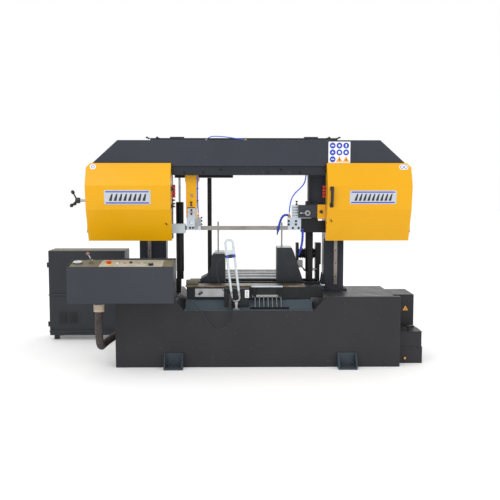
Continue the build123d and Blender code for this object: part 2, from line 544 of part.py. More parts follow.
# ---- bow: wheel housings, covers and wheels ------------------------------------------------------
house_front, house_back = -150, beam_back
house_w = cover_w - 12
house_low, house_high = cover_bottom + 6, beam_bottom
axle_r, hub_r, rim_w = 20, 48, 40
star_y = -60                # tension handle's shaft
hinge_r = 5
housings = []
for cx, out in ((cover_xl, -1), (cover_xr, 1)):
    wall = 8
    hx0, hx1 = cx - house_w / 2, cx + house_w / 2
    house = block(hx0, hx1, house_front, house_back, house_low, house_high)
    house -= block(hx0 + wall, hx1 - wall, house_front - 1, house_back - wall, house_low + wall,
                   house_high - 1)
    inner_x = hx1 if out < 0 else hx0
    house -= block(inner_x - wall - 1, inner_x + wall + 1, blade_y - 26, blade_y + 26,
                   blade_z - 32, blade_z + 32)
    house -= block(inner_x - wall - 1, inner_x + wall + 1, blade_y - 26, blade_y + 26, blade_top_z - 10,
                   blade_top_z + 10)
    wx = wheel_xl if out < 0 else wheel_xr
    house += rod((wx, blade_y - 28, wheel_z), (0, 1, 0), axle_r, house_back - wall + 1 - blade_y + 28)
    house += rod((wx, blade_y + 24, wheel_z), (0, 1, 0), 34, house_back - wall + 1 - blade_y - 24)
    edge = hx0 if out < 0 else hx1
    pin = (edge + out * 12, house_front - 2)
    for z in (house_low + 70, house_high - 110):
        house += block(min(edge, pin[0]) - (0 if out > 0 else 6), max(edge, pin[0]) + (6 if out > 0 else 0),
                       house_front - 2, house_front + 22, z - 16, z)
        house += rod((pin[0], pin[1], z - 16), (0, 0, 1), 9, 16)
        house += rod((pin[0], pin[1], z - 1), (0, 0, 1), hinge_r, 36)
    if out < 0:
        boss_x = hx0 - 24
        house += rod((boss_x, star_y, wheel_z), (1, 0, 0), 22, 32)
        house -= rod((boss_x - 1, star_y, wheel_z), (1, 0, 0), 10 + run_fit, 60)
    housings.append(house)

    name = "left_cover" if out < 0 else "right_cover"
    cx0, cx1 = cx - cover_w / 2, cx + cover_w / 2
    back = house_front - gap
    outer = [(-202, cover_top), (-215, cover_top), (-290, 1322), (-265, 1146), (-172, cover_bottom),
             (back, cover_bottom), (back, house_high - 4), (-202, house_high - 4)]
    inside = [(-205, cover_top - 4), (-212, cover_top - 4), (-286, 1322), (-261, 1146),
              (-169, cover_bottom + 4), (back + 1, cover_bottom + 4), (back + 1, house_high - 8),
              (-205, house_high - 8)]
    cover = prism(outer, "x", cx0, cx1) - prism(inside, "x", cx0 + 3, cx1 - 3)
    corner_x = cx0 if out < 0 else cx1
    cover -= prism([(corner_x - 1 if out < 0 else corner_x + 1, cover_top + 1),
                    (corner_x - out * 32, cover_top + 1),
                    (corner_x - 1 if out < 0 else corner_x + 1, cover_top - 32)], "y", -320, -100)
    for z in (house_low + 70, house_high - 110):
        cover -= block(pin[0] - 30, pin[0] + 30, house_front - 14, house_front + 4, z - 18, z + gap)
        cover += block(min(pin[0], corner_x - out * 3), max(pin[0], corner_x - out * 3), pin[1] - 8, back,
                       z + gap, z + 34)
        cover += rod((pin[0], pin[1], z + gap), (0, 0, 1), 9, 34)
        cover -= rod((pin[0], pin[1], z - 2), (0, 0, 1), hinge_r + run_fit, 40)
    parts[name] = cover

    wheel = tube((wx, blade_y - rim_w / 2, wheel_z), (0, 1, 0), wheel_r, wheel_r - 24, rim_w)
    wheel += tube((wx, blade_y - 5, wheel_z), (0, 1, 0), wheel_r - 20, axle_r + run_fit, 10)
    wheel += tube((wx, blade_y - rim_w / 2, wheel_z), (0, 1, 0), hub_r, axle_r + run_fit, rim_w)
    for i in range(6):
        a = math.radians(60 * i + 30)
        wheel -= rod((wx + 118 * math.cos(a), blade_y - 12, wheel_z + 118 * math.sin(a)), (0, 1, 0), 38, 24)
    parts["idler_wheel" if out < 0 else "drive_wheel"] = wheel
parts["wheel_housings"] = Compound(children=housings)

# ---- bow: blade ---------------------------------------------------------------------------------
band_r = wheel_r + gap
guide_left, guide_right = (-575, -380), (190, 345)


def strip(x, turn):
    """The blade's section at x on the lower run: flat at 0, upright at 90 degrees."""
    plane = Plane(origin=(x, blade_y, blade_z), x_dir=(0, 1, 0), z_dir=(1, 0, 0))
    return plane * Rot(0, 0, turn) * Rectangle(blade_w, blade_t)


def twist(x0, x1, from_turn, to_turn):
    count = 7
    sections = [strip(x0 + (x1 - x0) * i / (count - 1),
                      from_turn + (to_turn - from_turn) * i / (count - 1)) for i in range(count)]
    return loft(sections)


lower = twist(wheel_xl, guide_left[0], 0, 90)
upright = block(guide_left[0], guide_right[1], blade_y - blade_t / 2, blade_y + blade_t / 2,
                blade_z - blade_w / 2, blade_z + blade_w / 2)
band = lower + upright + twist(guide_right[1], wheel_xr, 90, 0)
for wx, out in ((wheel_xl, -1), (wheel_xr, 1)):
    ring = tube((wx, blade_y - blade_w / 2, wheel_z), (0, 1, 0), band_r + blade_t, band_r, blade_w)
    half_x = wx - 400 if out < 0 else wx
    half = block(half_x, half_x + 400, -200, 100, 800, 1600)
    band += ring & half
band += block(wheel_xl, wheel_xr, blade_y - blade_w / 2, blade_y + blade_w / 2,
              wheel_z + band_r, wheel_z + band_r + blade_t)
parts["saw_blade"] = band

# ---- bow: guides --------------------------------------------------------------------------------
slot = 2.0
arm_x0, arm_x1 = -554, -474
arm = block(arm_x0 - 6, arm_x1 + 17, blade_y - 50, blade_y + 50, 1362, chan_low - gap)
arm -= prism([(blade_y + a + (gap if a > 0 else -gap), chan_low + b + (gap if b > -15 else -gap))
              for a, b in tee], "x", arm_x0 - 10, arm_x1 + 20)
arm += prism([(arm_x0 - 6, 1364), (arm_x1 + 17, 1364), (arm_x1 + 17, 1360), (arm_x1, 1333), (arm_x0, 1333),
              (arm_x0 - 6, 1360)], "y", blade_y - 50, blade_y + 50)
arm += block(arm_x0, arm_x1, blade_y - 50, blade_y + 50, 1153, 1334)
arm -= block(arm_x0 + 8, arm_x1 - 8, blade_y - 38, blade_y + 51, 1150, 1320)
for x in (arm_x0, arm_x1 - 8):
    arm += block(x, x + 8, blade_y - 50, blade_y - 10, 1082, 1154)
parts["guide_arm"] = arm
head = block(arm_x0 + 8, arm_x1 - 8, blade_y - 34, blade_y + 30, 1081, 1150)
head += block(arm_x0 + 2, arm_x1 + 30, blade_y - 34, blade_y + 30, 986, 1082)
head -= block(arm_x0 - 10, arm_x1 + 60, blade_y - slot, blade_y + slot, 980, blade_z + blade_w / 2 + 4)
parts["guide_head"] = head

leg = block(367, 501, blade_y - 30, blade_y + 40, 1175, chan_low)
leg -= block(377, 491, blade_y - 31, blade_y + 30, 1185, chan_low - 10)
leg += block(291, 444, blade_y - 60, blade_y + 40, 1080, 1175)
leg += block(434, 492, blade_y - 90, blade_y - 55, 1071, 1179)
lever_c = (362, blade_y - 60, 1115)
leg -= rod((lever_c[0], lever_c[1] - 1, lever_c[2]), (0, 1, 0), 8 + run_fit, 40)
head = block(213, 315, blade_y - 36, blade_y + 30, 986, 1080)
head += block(247, 292, blade_y - 30, blade_y + 30, 1079, 1174)
head -= block(200, 330, blade_y - slot, blade_y + slot, 980, blade_z + blade_w / 2 + 4)
parts["right_guide"] = leg + head
lever = rod((lever_c[0], lever_c[1] + 30, lever_c[2]), (0, -1, 0), 8, 48)
lever += rod((lever_c[0], lever_c[1] - gap, lever_c[2]), (0, -1, 0), 22, 10)
lever += rod((lever_c[0], lever_c[1] - 14, lever_c[2]), (-1, 0, 0), 5, 48)
lever += rod((lever_c[0] - 42, lever_c[1] - 14, lever_c[2]), (-1, 0, 0), 10, 20)
parts["clamp_lever"] = lever
guards = [block(cover_xl + cover_w / 2 - 6, -563, blade_y - 36, blade_y + 36, 962, 1032)
          - block(-700, -560, blade_y - 30, blade_y + 30, 950, 1026),
          block(316, 499, blade_y - 36, blade_y + 36, 967, 1055)
          - block(315, 500, blade_y - 30, blade_y + 30, 950, 1030)]
guards[1] += block(316, 444, blade_y - 36, blade_y + 36, 1054, 1080)
parts["blade_guards"] = Compound(children=guards)

# ---- bow: drive, rams, carriages ----------------------------------------------------------------
gear_y = beam_back
gear = block(wheel_xr - 90, wheel_xr + 90, gear_y, gear_y + 120, wheel_z - 110, wheel_z + 90)
motor_y = gear_y + 86
gear += rod((wheel_xr, motor_y, wheel_z + 80), (0, 0, 1), 78, 40)
motor = rod((wheel_xr, motor_y, wheel_z + 120), (0, 0, 1), 70, 250)
for i in range(16):
    a = math.radians(22.5 * i)
    motor += (Pos(wheel_xr, motor_y, wheel_z + 245) * Rot(0, 0, math.degrees(a)) * Pos(75, 0, 0)
              * Box(16, 4, 200))
motor += rod((wheel_xr, motor_y, wheel_z + 370), (0, 0, 1), 74, 24)
parts["gear_motor"] = gear + motor
rods = []
for x in ram_xs:
    one = rod((x, ram_y, ram_top - 104), (0, 0, 1), ram_bore - 0.5, 20)
    one += rod((x, ram_y, ram_top - 85), (0, 0, 1), ram_rod, 1645 - ram_top + 85)
    one += rod((x, ram_y, 1641), (0, 0, 1), 15, 14)
    rods.append(one)
parts["lift_rods"] = Compound(children=rods)
carriers = []
for x in ram_xs:
    carriers.append(block(x - 28, x + 28, beam_back, ram_y + 28, 1604, 1641)
                    - rod((x, ram_y, 1600), (0, 0, 1), ram_rod, 50))
slide_y = column_front - rail_h
for x in (rail_left, rail_right):
    plate = block(x - 45, x + 45, beam_back, slide_y - 28, 1470, 1640)
    plate += block(x - 45, x + 45, slide_y - 48, slide_y - 28, 1150, 1640)
    carriers.append(plate)
parts["bow_brackets"] = Compound(children=carriers)
blocks = []
for x in (rail_left, rail_right):
    for z in (1165, 1505):
        one = block(x - 31, x + 31, slide_y - 28, column_front - 3, z, z + 110)
        pocket = [(a * (14 + gap) / 14, b) for a, b in
                  ((-14, 6), (-14, -8), (-9, -12), (-14, -17), (-14, -rail_h - gap), (14, -rail_h - gap),
                   (14, -17), (9, -12), (14, -8), (14, 6))]
        one -= prism([(x + a, column_front + b) for a, b in pocket], "z", z - 1, z + 111)
        blocks.append(one)
parts["carriages"] = Compound(children=blocks)

# ---- bow: tension handle ------------------------------------------------------------------------
hub_x = cover_xl - house_w / 2 - 44
arm_r, arm_len, knob_r = 6, 68, 14
star = rod((hub_x + 60, star_y, wheel_z), (-1, 0, 0), 10, 110)
star += rod((hub_x - 30, star_y, wheel_z), (-1, 0, 0), 20, 26)
for i in range(3):
    a = math.radians(120 * i + 95)
    way = Vector(-0.45, 0.9 * math.cos(a), 0.9 * math.sin(a)).normalized()
    centre = Vector(hub_x - 42, star_y, wheel_z)
    star += rod(centre, way, arm_r, arm_len) + rod(centre + way * (arm_len - 8), way, knob_r, 28)
parts["star_handle"] = star

# ---- bow: coolant hoses -------------------------------------------------------------------------
hose_a = [(229, blade_y - 20, 1088), (208, blade_y - 24, 1106), (172, blade_y - 25, 1092),
          (150, blade_y - 22, 1030), (136, blade_y - 16, 945)]
hose_b = [(326, blade_y - 46, 995), (328, blade_y - 46, 930), (318, blade_y - 46, 860),
          (302, blade_y - 46, 800)]
hoses = []
for points in (hose_a, hose_b):
    pts = [Vector(*p) for p in points]
    line = Spline(*pts)
    hoses.append(sweep(Plane(origin=line @ 0, z_dir=line % 0) * Circle(8), path=line))
hoses[0] += block(219, 239, blade_y - 34, blade_y - 8, 1080, 1090)
hoses[1] += block(317, 335, blade_y - 56, blade_y - 36, 985, 1006)
parts["coolant_hoses"] = Compound(children=hoses)

# ---- export -------------------------------------------------------------------------------------
os.makedirs("parts", exist_ok=True)
for name, shape in parts.items():
    shape.label = name
    export_step(shape, f"parts/{name}.step")
print(len(parts), "parts; lift", round(lift, 1))
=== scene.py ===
# %% [markdown]
# # A horizontal double-column band saw
#
# The saw is a workshop machine that cuts steel bar. A heavy sheet-steel base carries two columns.
# A long beam, the bow, slides down them and carries two wheels behind yellow covers, and the
# toothed band runs round the wheels. A vise on the table holds the bar.
#
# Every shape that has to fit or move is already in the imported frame. This notebook gives those
# shapes their rolled edges, their finishes and the small pieces that make a machine look real.
# Another way would be to model the whole saw again in Blender, but then nothing would be sure to
# fit its joints.

import json
import math
from types import SimpleNamespace

import bmesh
import bpy
from mathutils import Matrix, Vector
from mathutils.bvhtree import BVHTree

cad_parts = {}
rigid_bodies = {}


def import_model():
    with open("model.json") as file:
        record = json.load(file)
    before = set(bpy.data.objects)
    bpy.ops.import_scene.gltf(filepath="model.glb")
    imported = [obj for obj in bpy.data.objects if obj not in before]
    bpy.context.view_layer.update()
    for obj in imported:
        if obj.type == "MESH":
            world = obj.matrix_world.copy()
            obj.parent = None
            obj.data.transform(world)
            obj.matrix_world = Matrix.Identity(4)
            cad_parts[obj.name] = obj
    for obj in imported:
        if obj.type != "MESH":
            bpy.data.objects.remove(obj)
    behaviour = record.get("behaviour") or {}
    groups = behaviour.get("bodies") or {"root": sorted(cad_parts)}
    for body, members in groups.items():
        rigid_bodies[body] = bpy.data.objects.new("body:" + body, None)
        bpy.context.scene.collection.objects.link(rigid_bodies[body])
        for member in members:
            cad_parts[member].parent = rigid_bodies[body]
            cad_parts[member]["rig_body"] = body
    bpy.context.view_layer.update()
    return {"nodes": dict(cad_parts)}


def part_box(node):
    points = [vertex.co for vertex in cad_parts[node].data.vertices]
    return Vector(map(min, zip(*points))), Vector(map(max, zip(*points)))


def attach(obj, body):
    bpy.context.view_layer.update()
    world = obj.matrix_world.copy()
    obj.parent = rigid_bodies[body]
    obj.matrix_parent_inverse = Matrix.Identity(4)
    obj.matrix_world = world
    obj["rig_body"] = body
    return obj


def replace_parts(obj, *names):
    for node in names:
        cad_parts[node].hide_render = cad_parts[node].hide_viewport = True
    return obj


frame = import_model()

# %% [markdown]
# ## Units and places
#
# The drawing of a machine is in millimetres and Blender works in metres, so two small helpers
# turn one into the other. `box` gives a node's edges by name, and every added piece takes its
# place from such an edge. Typing world positions by hand would also work, until a part grows.

# %% Millimetres and boxes
def mm(*values):
    """A point or a size in millimetres, as a vector in metres."""
    return Vector([value / 1000 for value in values])


def box(node):
    """The edges of a node at rest, in millimetres."""
    low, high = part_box(node)
    names = ("x0", "y0", "z0", "x1", "y1", "z1")
    return SimpleNamespace(**dict(zip(names, [1000 * v for v in (*low, *high)])))


trees = {}


def touch(node, start, way):
    """Where a ray from start (mm) first meets a node, and the outward direction there."""
    if node not in trees:
        mesh = frame["nodes"][node].data
        mesh.calc_loop_triangles()
        corners = [v.co for v in mesh.vertices]
        trees[node] = BVHTree.FromPolygons(corners, [t.vertices for t in mesh.loop_triangles])
    place, outward, _, _ = trees[node].ray_cast(mm(*start), Vector(way))
    if outward.dot(Vector(way)) > 0:
        outward = -outward
    return place, outward


def lined_up(place, outward, right=(1, 0, 0)):
    """A matrix whose Z is outward and whose X is as near right as it can be."""
    z = Vector(outward).normalized()
    x = (Vector(right) - z * z.dot(Vector(right))).normalized()
    turn = Matrix((x, z.cross(x), z)).transposed()
    return Matrix.Translation(place) @ turn.to_4x4()


print("table at", round(box("table_plates").z1), "mm above the floor")

# %% [markdown]
# ## Camera
#
# The view is that of a person standing in front of the machine, a little above the table, with a
# lens long enough to keep upright edges nearly parallel. A closer, wider lens would make the
# console bulge. The camera comes first, because the cords are judged from it.

# %% Camera
eye = mm(-147.5, -5782, 1322)
tip_down, turn_right = math.radians(4.915), math.radians(0.76)
camera = bpy.data.objects.new("camera", bpy.data.cameras.new("camera"))
camera.data.lens, camera.data.sensor_width = 54, 36
camera.location = eye
camera.rotation_euler = (math.pi / 2 - tip_down, 0, -turn_right)
bpy.context.scene.collection.objects.link(camera)
bpy.context.scene.camera = camera
print("camera", [round(v, 2) for v in eye], "lens", camera.data.lens, "mm")

# %% [markdown]
# ## Colours and one node function
#
# A paint chart gives a colour as a hex code, which is display light. Shaders need scene light, so
# one function does the change. One more function adds any node, for shaders and for Geometry
# Nodes alike, which keeps each material a short list of what it is made of.

# %% Colour and node helpers
def linear(code):
    """A hex colour of a paint chart as the light values that a shader needs."""
    parts = [int(code[i:i + 2], 16) / 255 for i in (0, 2, 4)]
    return [p / 12.92 if p <= 0.04045 else ((p + 0.055) / 1.055) ** 2.4 for p in parts] + [1.0]


def add(tree, kind, inputs=None, **settings):
    """One node, with its settings, its values and its links."""
    node = tree.nodes.new(kind)
    for name, value in settings.items():
        setattr(node, name, value)
    for key, value in (inputs or {}).items():
        if isinstance(value, bpy.types.NodeSocket):
            tree.links.new(value, node.inputs[key])
        else:
            node.inputs[key].default_value = value
    return node


def started(name):
    """A new material: its tree, its shader and the place on the piece."""
    material = bpy.data.materials.new(name)
    material.use_nodes = True
    tree = material.node_tree
    return material, tree, tree.nodes["Principled BSDF"], add(tree,
        "ShaderNodeTexCoord").outputs["Object"]


def noise(tree, where, size_mm, detail=3.0, stretch=(1, 1, 1)):
    """Noise whose grain is size_mm across, drawn out along an axis where stretch is below 1."""
    spread = add(tree, "ShaderNodeMapping", {"Vector": where, "Scale": stretch})
    values = {"Vector": spread.outputs[0], "Scale": 1000 / size_mm, "Detail": detail}
    return add(tree, "ShaderNodeTexNoise", values).outputs["Fac"]


def ranged(tree, value, low, high, to_low, to_high):
    values = {0: value, 1: low, 2: high, 3: to_low, 4: to_high}
    return add(tree, "ShaderNodeMapRange", values).outputs[0]


def mixed(tree, share, first, second):
    return add(tree, "ShaderNodeMix", {0: share, 6: first, 7: second}, data_type="RGBA").outputs[2]


print("amber paint in scene light", [round(v, 3) for v in linear("f5b81f")])

# %% [markdown]
# ## Painted steel
#
# The base, columns and beam are welded steel with a two-pack satin paint, sprayed on. Sprayed
# paint has a faint orange-peel skin, it differs a little in shade over a big panel, and dust
# settles on its upward faces. A flat grey would look like plastic card. Each of those three is
# one noise with a real size in millimetres; the peel is drawn at 6 mm instead of about 2 so that
# it shows at this distance.

# %% Sprayed paint
def sprayed(name, code, worn_code, roughness=0.42, peel_mm=6, peel=0.12, dust=0.12, coat=0.0, gloss=0.25,
            rub_code="5b5c60"):
    """Sprayed machine paint: shade drift, orange peel, dust on top faces and small rub marks."""
    material, tree, shader, where = started(name)
    drift = ranged(tree, noise(tree, where, 420, 4), 0.3, 0.7, 0, 1)
    shade = mixed(tree, drift, linear(code), linear(worn_code))
    rub = ranged(tree, noise(tree, where, 26, 8), 0.64, 0.8, 0, 0.3)
    shade = mixed(tree, rub, shade, linear(rub_code))
    upward = add(tree, "ShaderNodeSeparateXYZ", {0: add(tree, "ShaderNodeNewGeometry").outputs["Normal"]})
    dusted = ranged(tree, upward.outputs["Z"], 0.75, 1.0, 0, dust)
    tree.links.new(mixed(tree, dusted, shade, linear("77756f")), shader.inputs["Base Color"])
    sheen = ranged(tree, noise(tree, where, 90, 3), 0.3, 0.7, roughness - 0.06, roughness + 0.07)
    tree.links.new(sheen, shader.inputs["Roughness"])
    skin = {"Height": noise(tree, where, peel_mm, 2), "Strength": peel, "Distance": 0.0006}
    tree.links.new(add(tree, "ShaderNodeBump", skin).outputs[0], shader.inputs["Normal"])
    shader.inputs["IOR"].default_value = 1.5
    shader.inputs["Specular IOR Level"].default_value = gloss
    shader.inputs["Coat Weight"].default_value = coat
    shader.inputs["Coat Roughness"].default_value = 0.12
    return material


base_paint = sprayed("satin_charcoal_machine_paint", "2a292d", "302f33")
beam_paint = sprayed("satin_slate_machine_paint", "31353d", "373b44", 0.38)
console_paint = sprayed("satin_slate_console_paint", "33363d", "393c43", 0.4)
apron_paint = sprayed("satin_blue_slate_paint", "333c44", "3b454e", 0.4, dust=0.2)
# The chip tray sits in shade, so its blue slate paint is made lighter than the apron's to offset that shade:
# painted light, not a colour of its own.
shade_lifted_tray_paint = sprayed("blue_slate_paint_lightened_against_shade", "414e58", "495660", 0.4, dust=0.15)
channel_paint = sprayed("satin_dark_slate_channel_paint", "21252b", "282c33", 0.4)
black_paint = sprayed("black_oven_enamel", "141416", "1a1a1d", 0.36, 5, 0.08, 0.06, rub_code="3a3a3c")
cabinet_paint = sprayed("satin_graphite_cabinet_paint", "2e3136", "34373c", 0.45)
khaki_paint = sprayed("faded_khaki_primer", "726d5c", "7d7866", 0.6, dust=0.05)
yellow_paint = sprayed("gloss_amber_machine_enamel", "e3a400", "e8ab04", 0.34, 7, 0.05, 0.0, 0.12,
    0.25, "c98f0a")
print("paints made")

# %% [markdown]
# ## Bare metal
#
# The table, the ways and the guides are cut metal. A cutter or a grinding wheel leaves lines, so
# the noise is drawn out along one axis, and the same lines change both the roughness and the
# bump. A metal has no diffuse colour of its own, which is why metallic stays at one here; rust
# film on the table is painted as a warm stain with less metal in it.

# %% Cut, ground and cast metal
def ground(name, code, stain_code, roughness, line_mm, along, stain=0.3, metal=1.0):
    """Metal with tool marks drawn out along one axis, and a stain that lies on it in patches."""
    material, tree, shader, where = started(name)
    stretch = [0.04 if axis == along else 1 for axis in "xyz"]
    lines = noise(tree, where, line_mm, 2, stretch)
    patches = ranged(tree, noise(tree, where, 85, 6), 0.42, 0.68, 0, stain)
    tree.links.new(mixed(tree, patches, linear(code), linear(stain_code)), shader.inputs["Base Color"])
    rough = ranged(tree, lines, 0.3, 0.7, roughness - 0.08, roughness + 0.1)
    tree.links.new(rough, shader.inputs["Roughness"])
    marks = {"Height": lines, "Strength": 0.25, "Distance": 0.0003}
    tree.links.new(add(tree, "ShaderNodeBump", marks).outputs[0], shader.inputs["Normal"])
    shader.inputs["Metallic"].default_value = metal
    return material


def cast(name, code, worn_code, roughness=0.5):
    """Painted sand casting: a grainy skin about 3 mm across, worn lighter in patches."""
    material, tree, shader, where = started(name)
    patches = ranged(tree, noise(tree, where, 60, 6), 0.5, 0.72, 0, 0.6)
    tree.links.new(mixed(tree, patches, linear(code), linear(worn_code)), shader.inputs["Base Color"])
    grain = {"Height": noise(tree, where, 3.5, 5), "Strength": 0.3, "Distance": 0.0008}
    tree.links.new(add(tree, "ShaderNodeBump", grain).outputs[0], shader.inputs["Normal"])
    shader.inputs["Roughness"].default_value = roughness
    shader.inputs["Specular IOR Level"].default_value = 0.3
    return material


table_iron = ground("surface_ground_table_iron", "7d7465", "4a3d2e", 0.42, 3, "x", 0.8, 0.8)
bright_steel = ground("cold_drawn_bright_steel", "a4a5a7", "7f7970", 0.32, 2.5, "x", 0.35)
milled_steel = ground("milled_steel_plate", "a3a4a6", "77716a", 0.4, 4, "z", 0.4)
rail_steel = ground("ground_rail_steel", "9a938a", "6a6058", 0.35, 2.5, "z", 0.5)
chrome = ground("hard_chrome_plate", "d4dade", "b8bec4", 0.12, 2, "x", 0.15)
band_steel = ground("hardened_band_steel", "9d9894", "746d68", 0.34, 1.5, "x", 0.4, 0.9)
guide_alloy = ground("milled_zinc_alloy", "c6cfda", "95a0ac", 0.38, 3, "z", 0.35, 0.8)
brass = ground("turned_brass", "c79a55", "8d6c3b", 0.3, 1.5, "z", 0.3)
dark_cast = cast("grey_iron_casting_painted_slate", "282c31", "33373c")
bed_cast = cast("grey_iron_casting_painted_black", "1a1d21", "272b30", 0.48)
guard_paint = sprayed("pale_grey_guard_enamel", "c3d1d6", "cddadf", 0.35, 5, 0.05, 0.0, rub_code="97a5aa")
print("metals made")

# %% [markdown]
# ## Plastics, rubber and print
#
# Knobs and hoses are moulded. A moulded surface copies its tool, so it is smooth with a very
# fine grain, and its gloss tells the hard plastics from the rubber. Printed labels are thin
# vinyl: the same recipe with almost no grain.

# %% Moulded and printed finishes
def moulded(name, code, roughness=0.35, grain_mm=1.2, grain=0.15, drift=0.12, soft=0.0):
    """Moulded plastic or rubber: a fine tool grain and a slight drift in shade."""
    material, tree, shader, where = started(name)
    shade = ranged(tree, noise(tree, where, 25, 4), 0.3, 0.7, 0, drift)
    tree.links.new(mixed(tree, shade, linear(code), linear("8a8a8a")), shader.inputs["Base Color"])
    skin = {"Height": noise(tree, where, grain_mm, 2), "Strength": grain, "Distance": 0.0002}
    tree.links.new(add(tree, "ShaderNodeBump", skin).outputs[0], shader.inputs["Normal"])
    shader.inputs["Roughness"].default_value = roughness
    shader.inputs["IOR"].default_value = 1.49
    shader.inputs["Sheen Weight"].default_value = soft
    return material


black_plastic = moulded("black_phenolic_knob", "141416", 0.28, drift=0.05)
red_plastic = moulded("red_abs_moulding", "d3241c", 0.3, drift=0.05)
green_plastic = moulded("green_abs_moulding", "1f9a63", 0.3, drift=0.05)
plate_print = moulded("cream_printed_control_plate", "b9b7ab", 0.4, 1, 0.03, 0.06)
clay_plastic = moulded("clay_pink_phenolic", "8d6a60", 0.35, drift=0.05)
white_plastic = moulded("white_abs_moulding", "e4e4e2", 0.35, drift=0.05)
grey_plastic = moulded("grey_abs_moulding", "8d9094", 0.4)
yellow_plastic = moulded("yellow_abs_moulding", "f2c21a", 0.35, drift=0.05)
sleeve_rubber = moulded("brown_black_hose_rubber", "2c211c", 0.55, 3, 0.4, 0.15)
cable_rubber = moulded("black_cable_rubber", "1c1c1f", 0.3, 1, 0.1, 0.05)
blue_hose = moulded("blue_acetal_hose_segments", "0a34b4", 0.3, drift=0.04)
blue_tube = moulded("blue_polyurethane_tube", "0a5ae6", 0.2, drift=0.03)
beige_collar = moulded("beige_nylon_collar", "b9a891", 0.55, 2, 0.3)
vinyl_white = moulded("white_printed_vinyl", "f1f2f4", 0.35, 1, 0.03, 0.03)
vinyl_blue = moulded("blue_printed_vinyl", "2a45b8", 0.35, 1, 0.03, 0.03)
vinyl_amber = moulded("amber_printed_vinyl", "f2a516", 0.35, 1, 0.03, 0.03)
vinyl_black = moulded("black_printed_vinyl", "1a1b20", 0.35, 1, 0.03, 0.03)
badge_silver = ground("brushed_aluminium_badge", "c3c9d2", "aab1bd", 0.4, 1.5, "x", 0.15, 0.35)
lamp_glass = moulded("frosted_lamp_tube", "ccd6da", 0.16, 2, 0.05, 0.05)
print("plastics made")

# %% [markdown]
# ## Shapes from a few rules
#
# Most machine parts are one of four things: a block with broken edges, something turned on a
# lathe, a plate cut to an outline, or a tube along a path. Each is a short function that returns
# corners and faces. `Piece` collects such shapes in one mesh, each with its own finish, and
# hands the finished object to the frame. Primitive cubes would do for a sketch, but no real
# edge is sharp, and an edge that is rolled by 1 or 2 mm is what catches the light.

# %% Block, turned piece, plate and tube
def block(x, y, z, roll=1.5):
    """A block x by y by z mm about its centre, with its edges rolled."""
    mesh = bmesh.new()
    bmesh.ops.create_cube(mesh, size=1, matrix=Matrix.Diagonal((*mm(x, y, z), 1)))
    roll = min(roll, 0.3 * min(x, y, z)) / 1000
    bmesh.ops.bevel(mesh, geom=mesh.edges[:], offset=roll, segments=2, affect="EDGES", profile=0.5)
    return shape_of(mesh)


def shape_of(mesh):
    mesh.verts.index_update()
    corners = [v.co.copy() for v in mesh.verts]
    faces = [[v.index for v in f.verts] for f in mesh.faces]
    mesh.free()
    return corners, faces


def turned(profile, steps=28):
    """A solid turned about Z from (radius, height) pairs in mm, from its foot to its top."""
    corners, rings = [], []
    for radius, height in profile:
        if radius <= 0:
            corners.append(mm(0, 0, height))
            rings.append([len(corners) - 1] * steps)
            continue
        rings.append(range(len(corners), len(corners) + steps))
        for i in range(steps):
            a = math.tau * i / steps
            corners.append(mm(radius * math.cos(a), radius * math.sin(a), height))
    faces = []
    for low, high in zip(rings, rings[1:]):
        for i in range(steps):
            j = (i + 1) % steps
            face = [low[i], low[j], high[j], high[i]]
            faces.append(list(dict.fromkeys(face)))
    return corners, faces


def plate(outline, thick, roll=0.0):
    """A plate cut to an outline of (x, y) mm, its top face towards +Z."""
    mesh = bmesh.new()
    face = mesh.faces.new([mesh.verts.new(mm(x, y, 0)) for x, y in outline])
    up = bmesh.ops.extrude_face_region(mesh, geom=[face])
    top = [g for g in up["geom"] if isinstance(g, bmesh.types.BMVert)]
    bmesh.ops.translate(mesh, vec=mm(0, 0, thick), verts=top)
    if roll:
        edges = [e for e in mesh.edges if all(v in top for v in e.verts)]
        bmesh.ops.bevel(mesh, geom=edges, offset=roll / 1000, segments=2, affect="EDGES", profile=0.5)
    bmesh.ops.recalc_face_normals(mesh, faces=mesh.faces[:])
    return shape_of(mesh)


def oblong(width, height, corner, steps=5):
    """The outline of a rectangle with round corners."""
    points = []
    for i in range(4):
        cx = (width / 2 - corner) * (1 if i in (0, 3) else -1)
        cy = (height / 2 - corner) * (1 if i in (0, 1) else -1)
        for k in range(steps):
            a = math.pi / 2 * (i + k / (steps - 1))
            points.append((cx + corner * math.cos(a), cy + corner * math.sin(a)))
    return points


def ring_of(radius, steps=24, start=0.0):
    """The outline of a disc, or of a polygon where steps is small."""
    turns = [math.radians(start) + math.tau * i / steps for i in range(steps)]
    return [(radius * math.cos(a), radius * math.sin(a)) for a in turns]


def swept(points, radius, sides=14):
    """A tube along points in metres. radius is in mm, or a rule from the way run in metres."""
    rule = radius if callable(radius) else (lambda way: radius)
    corners, faces, run = [], [], 0.0
    tangents = [(b - a).normalized() for a, b in zip(points, points[1:])]
    tangents.append(tangents[-1])
    side = tangents[0].orthogonal().normalized()
    for i, (point, tangent) in enumerate(zip(points, tangents)):
        if i:
            run += (point - points[i - 1]).length
            tangent = (tangent + tangents[i - 1]).normalized()
        side = (side - tangent * side.dot(tangent)).normalized()
        other = tangent.cross(side)
        for k in range(sides):
            a = math.tau * k / sides
            corners.append(point + (side * math.cos(a) + other * math.sin(a)) * rule(run) / 1000)
    for i in range(len(points) - 1):
        for k in range(sides):
            j = (k + 1) % sides
            faces.append([i * sides + k, i * sides + j, (i + 1) * sides + j, (i + 1) * sides + k])
    faces.append(list(range(sides))[::-1])
    faces.append([len(corners) - sides + k for k in range(sides)])
    return corners, faces


print("a turned knob of 4 rings has", len(turned([(0, 0), (9, 0), (9, 8), (0, 8)])[1]), "faces")

# %% Collect shapes into a piece
def shaded(mesh, angle=32):
    mesh.polygons.foreach_set("use_smooth", [True] * len(mesh.polygons))
    mesh.set_sharp_from_angle(angle=math.radians(angle))
    mesh.update()


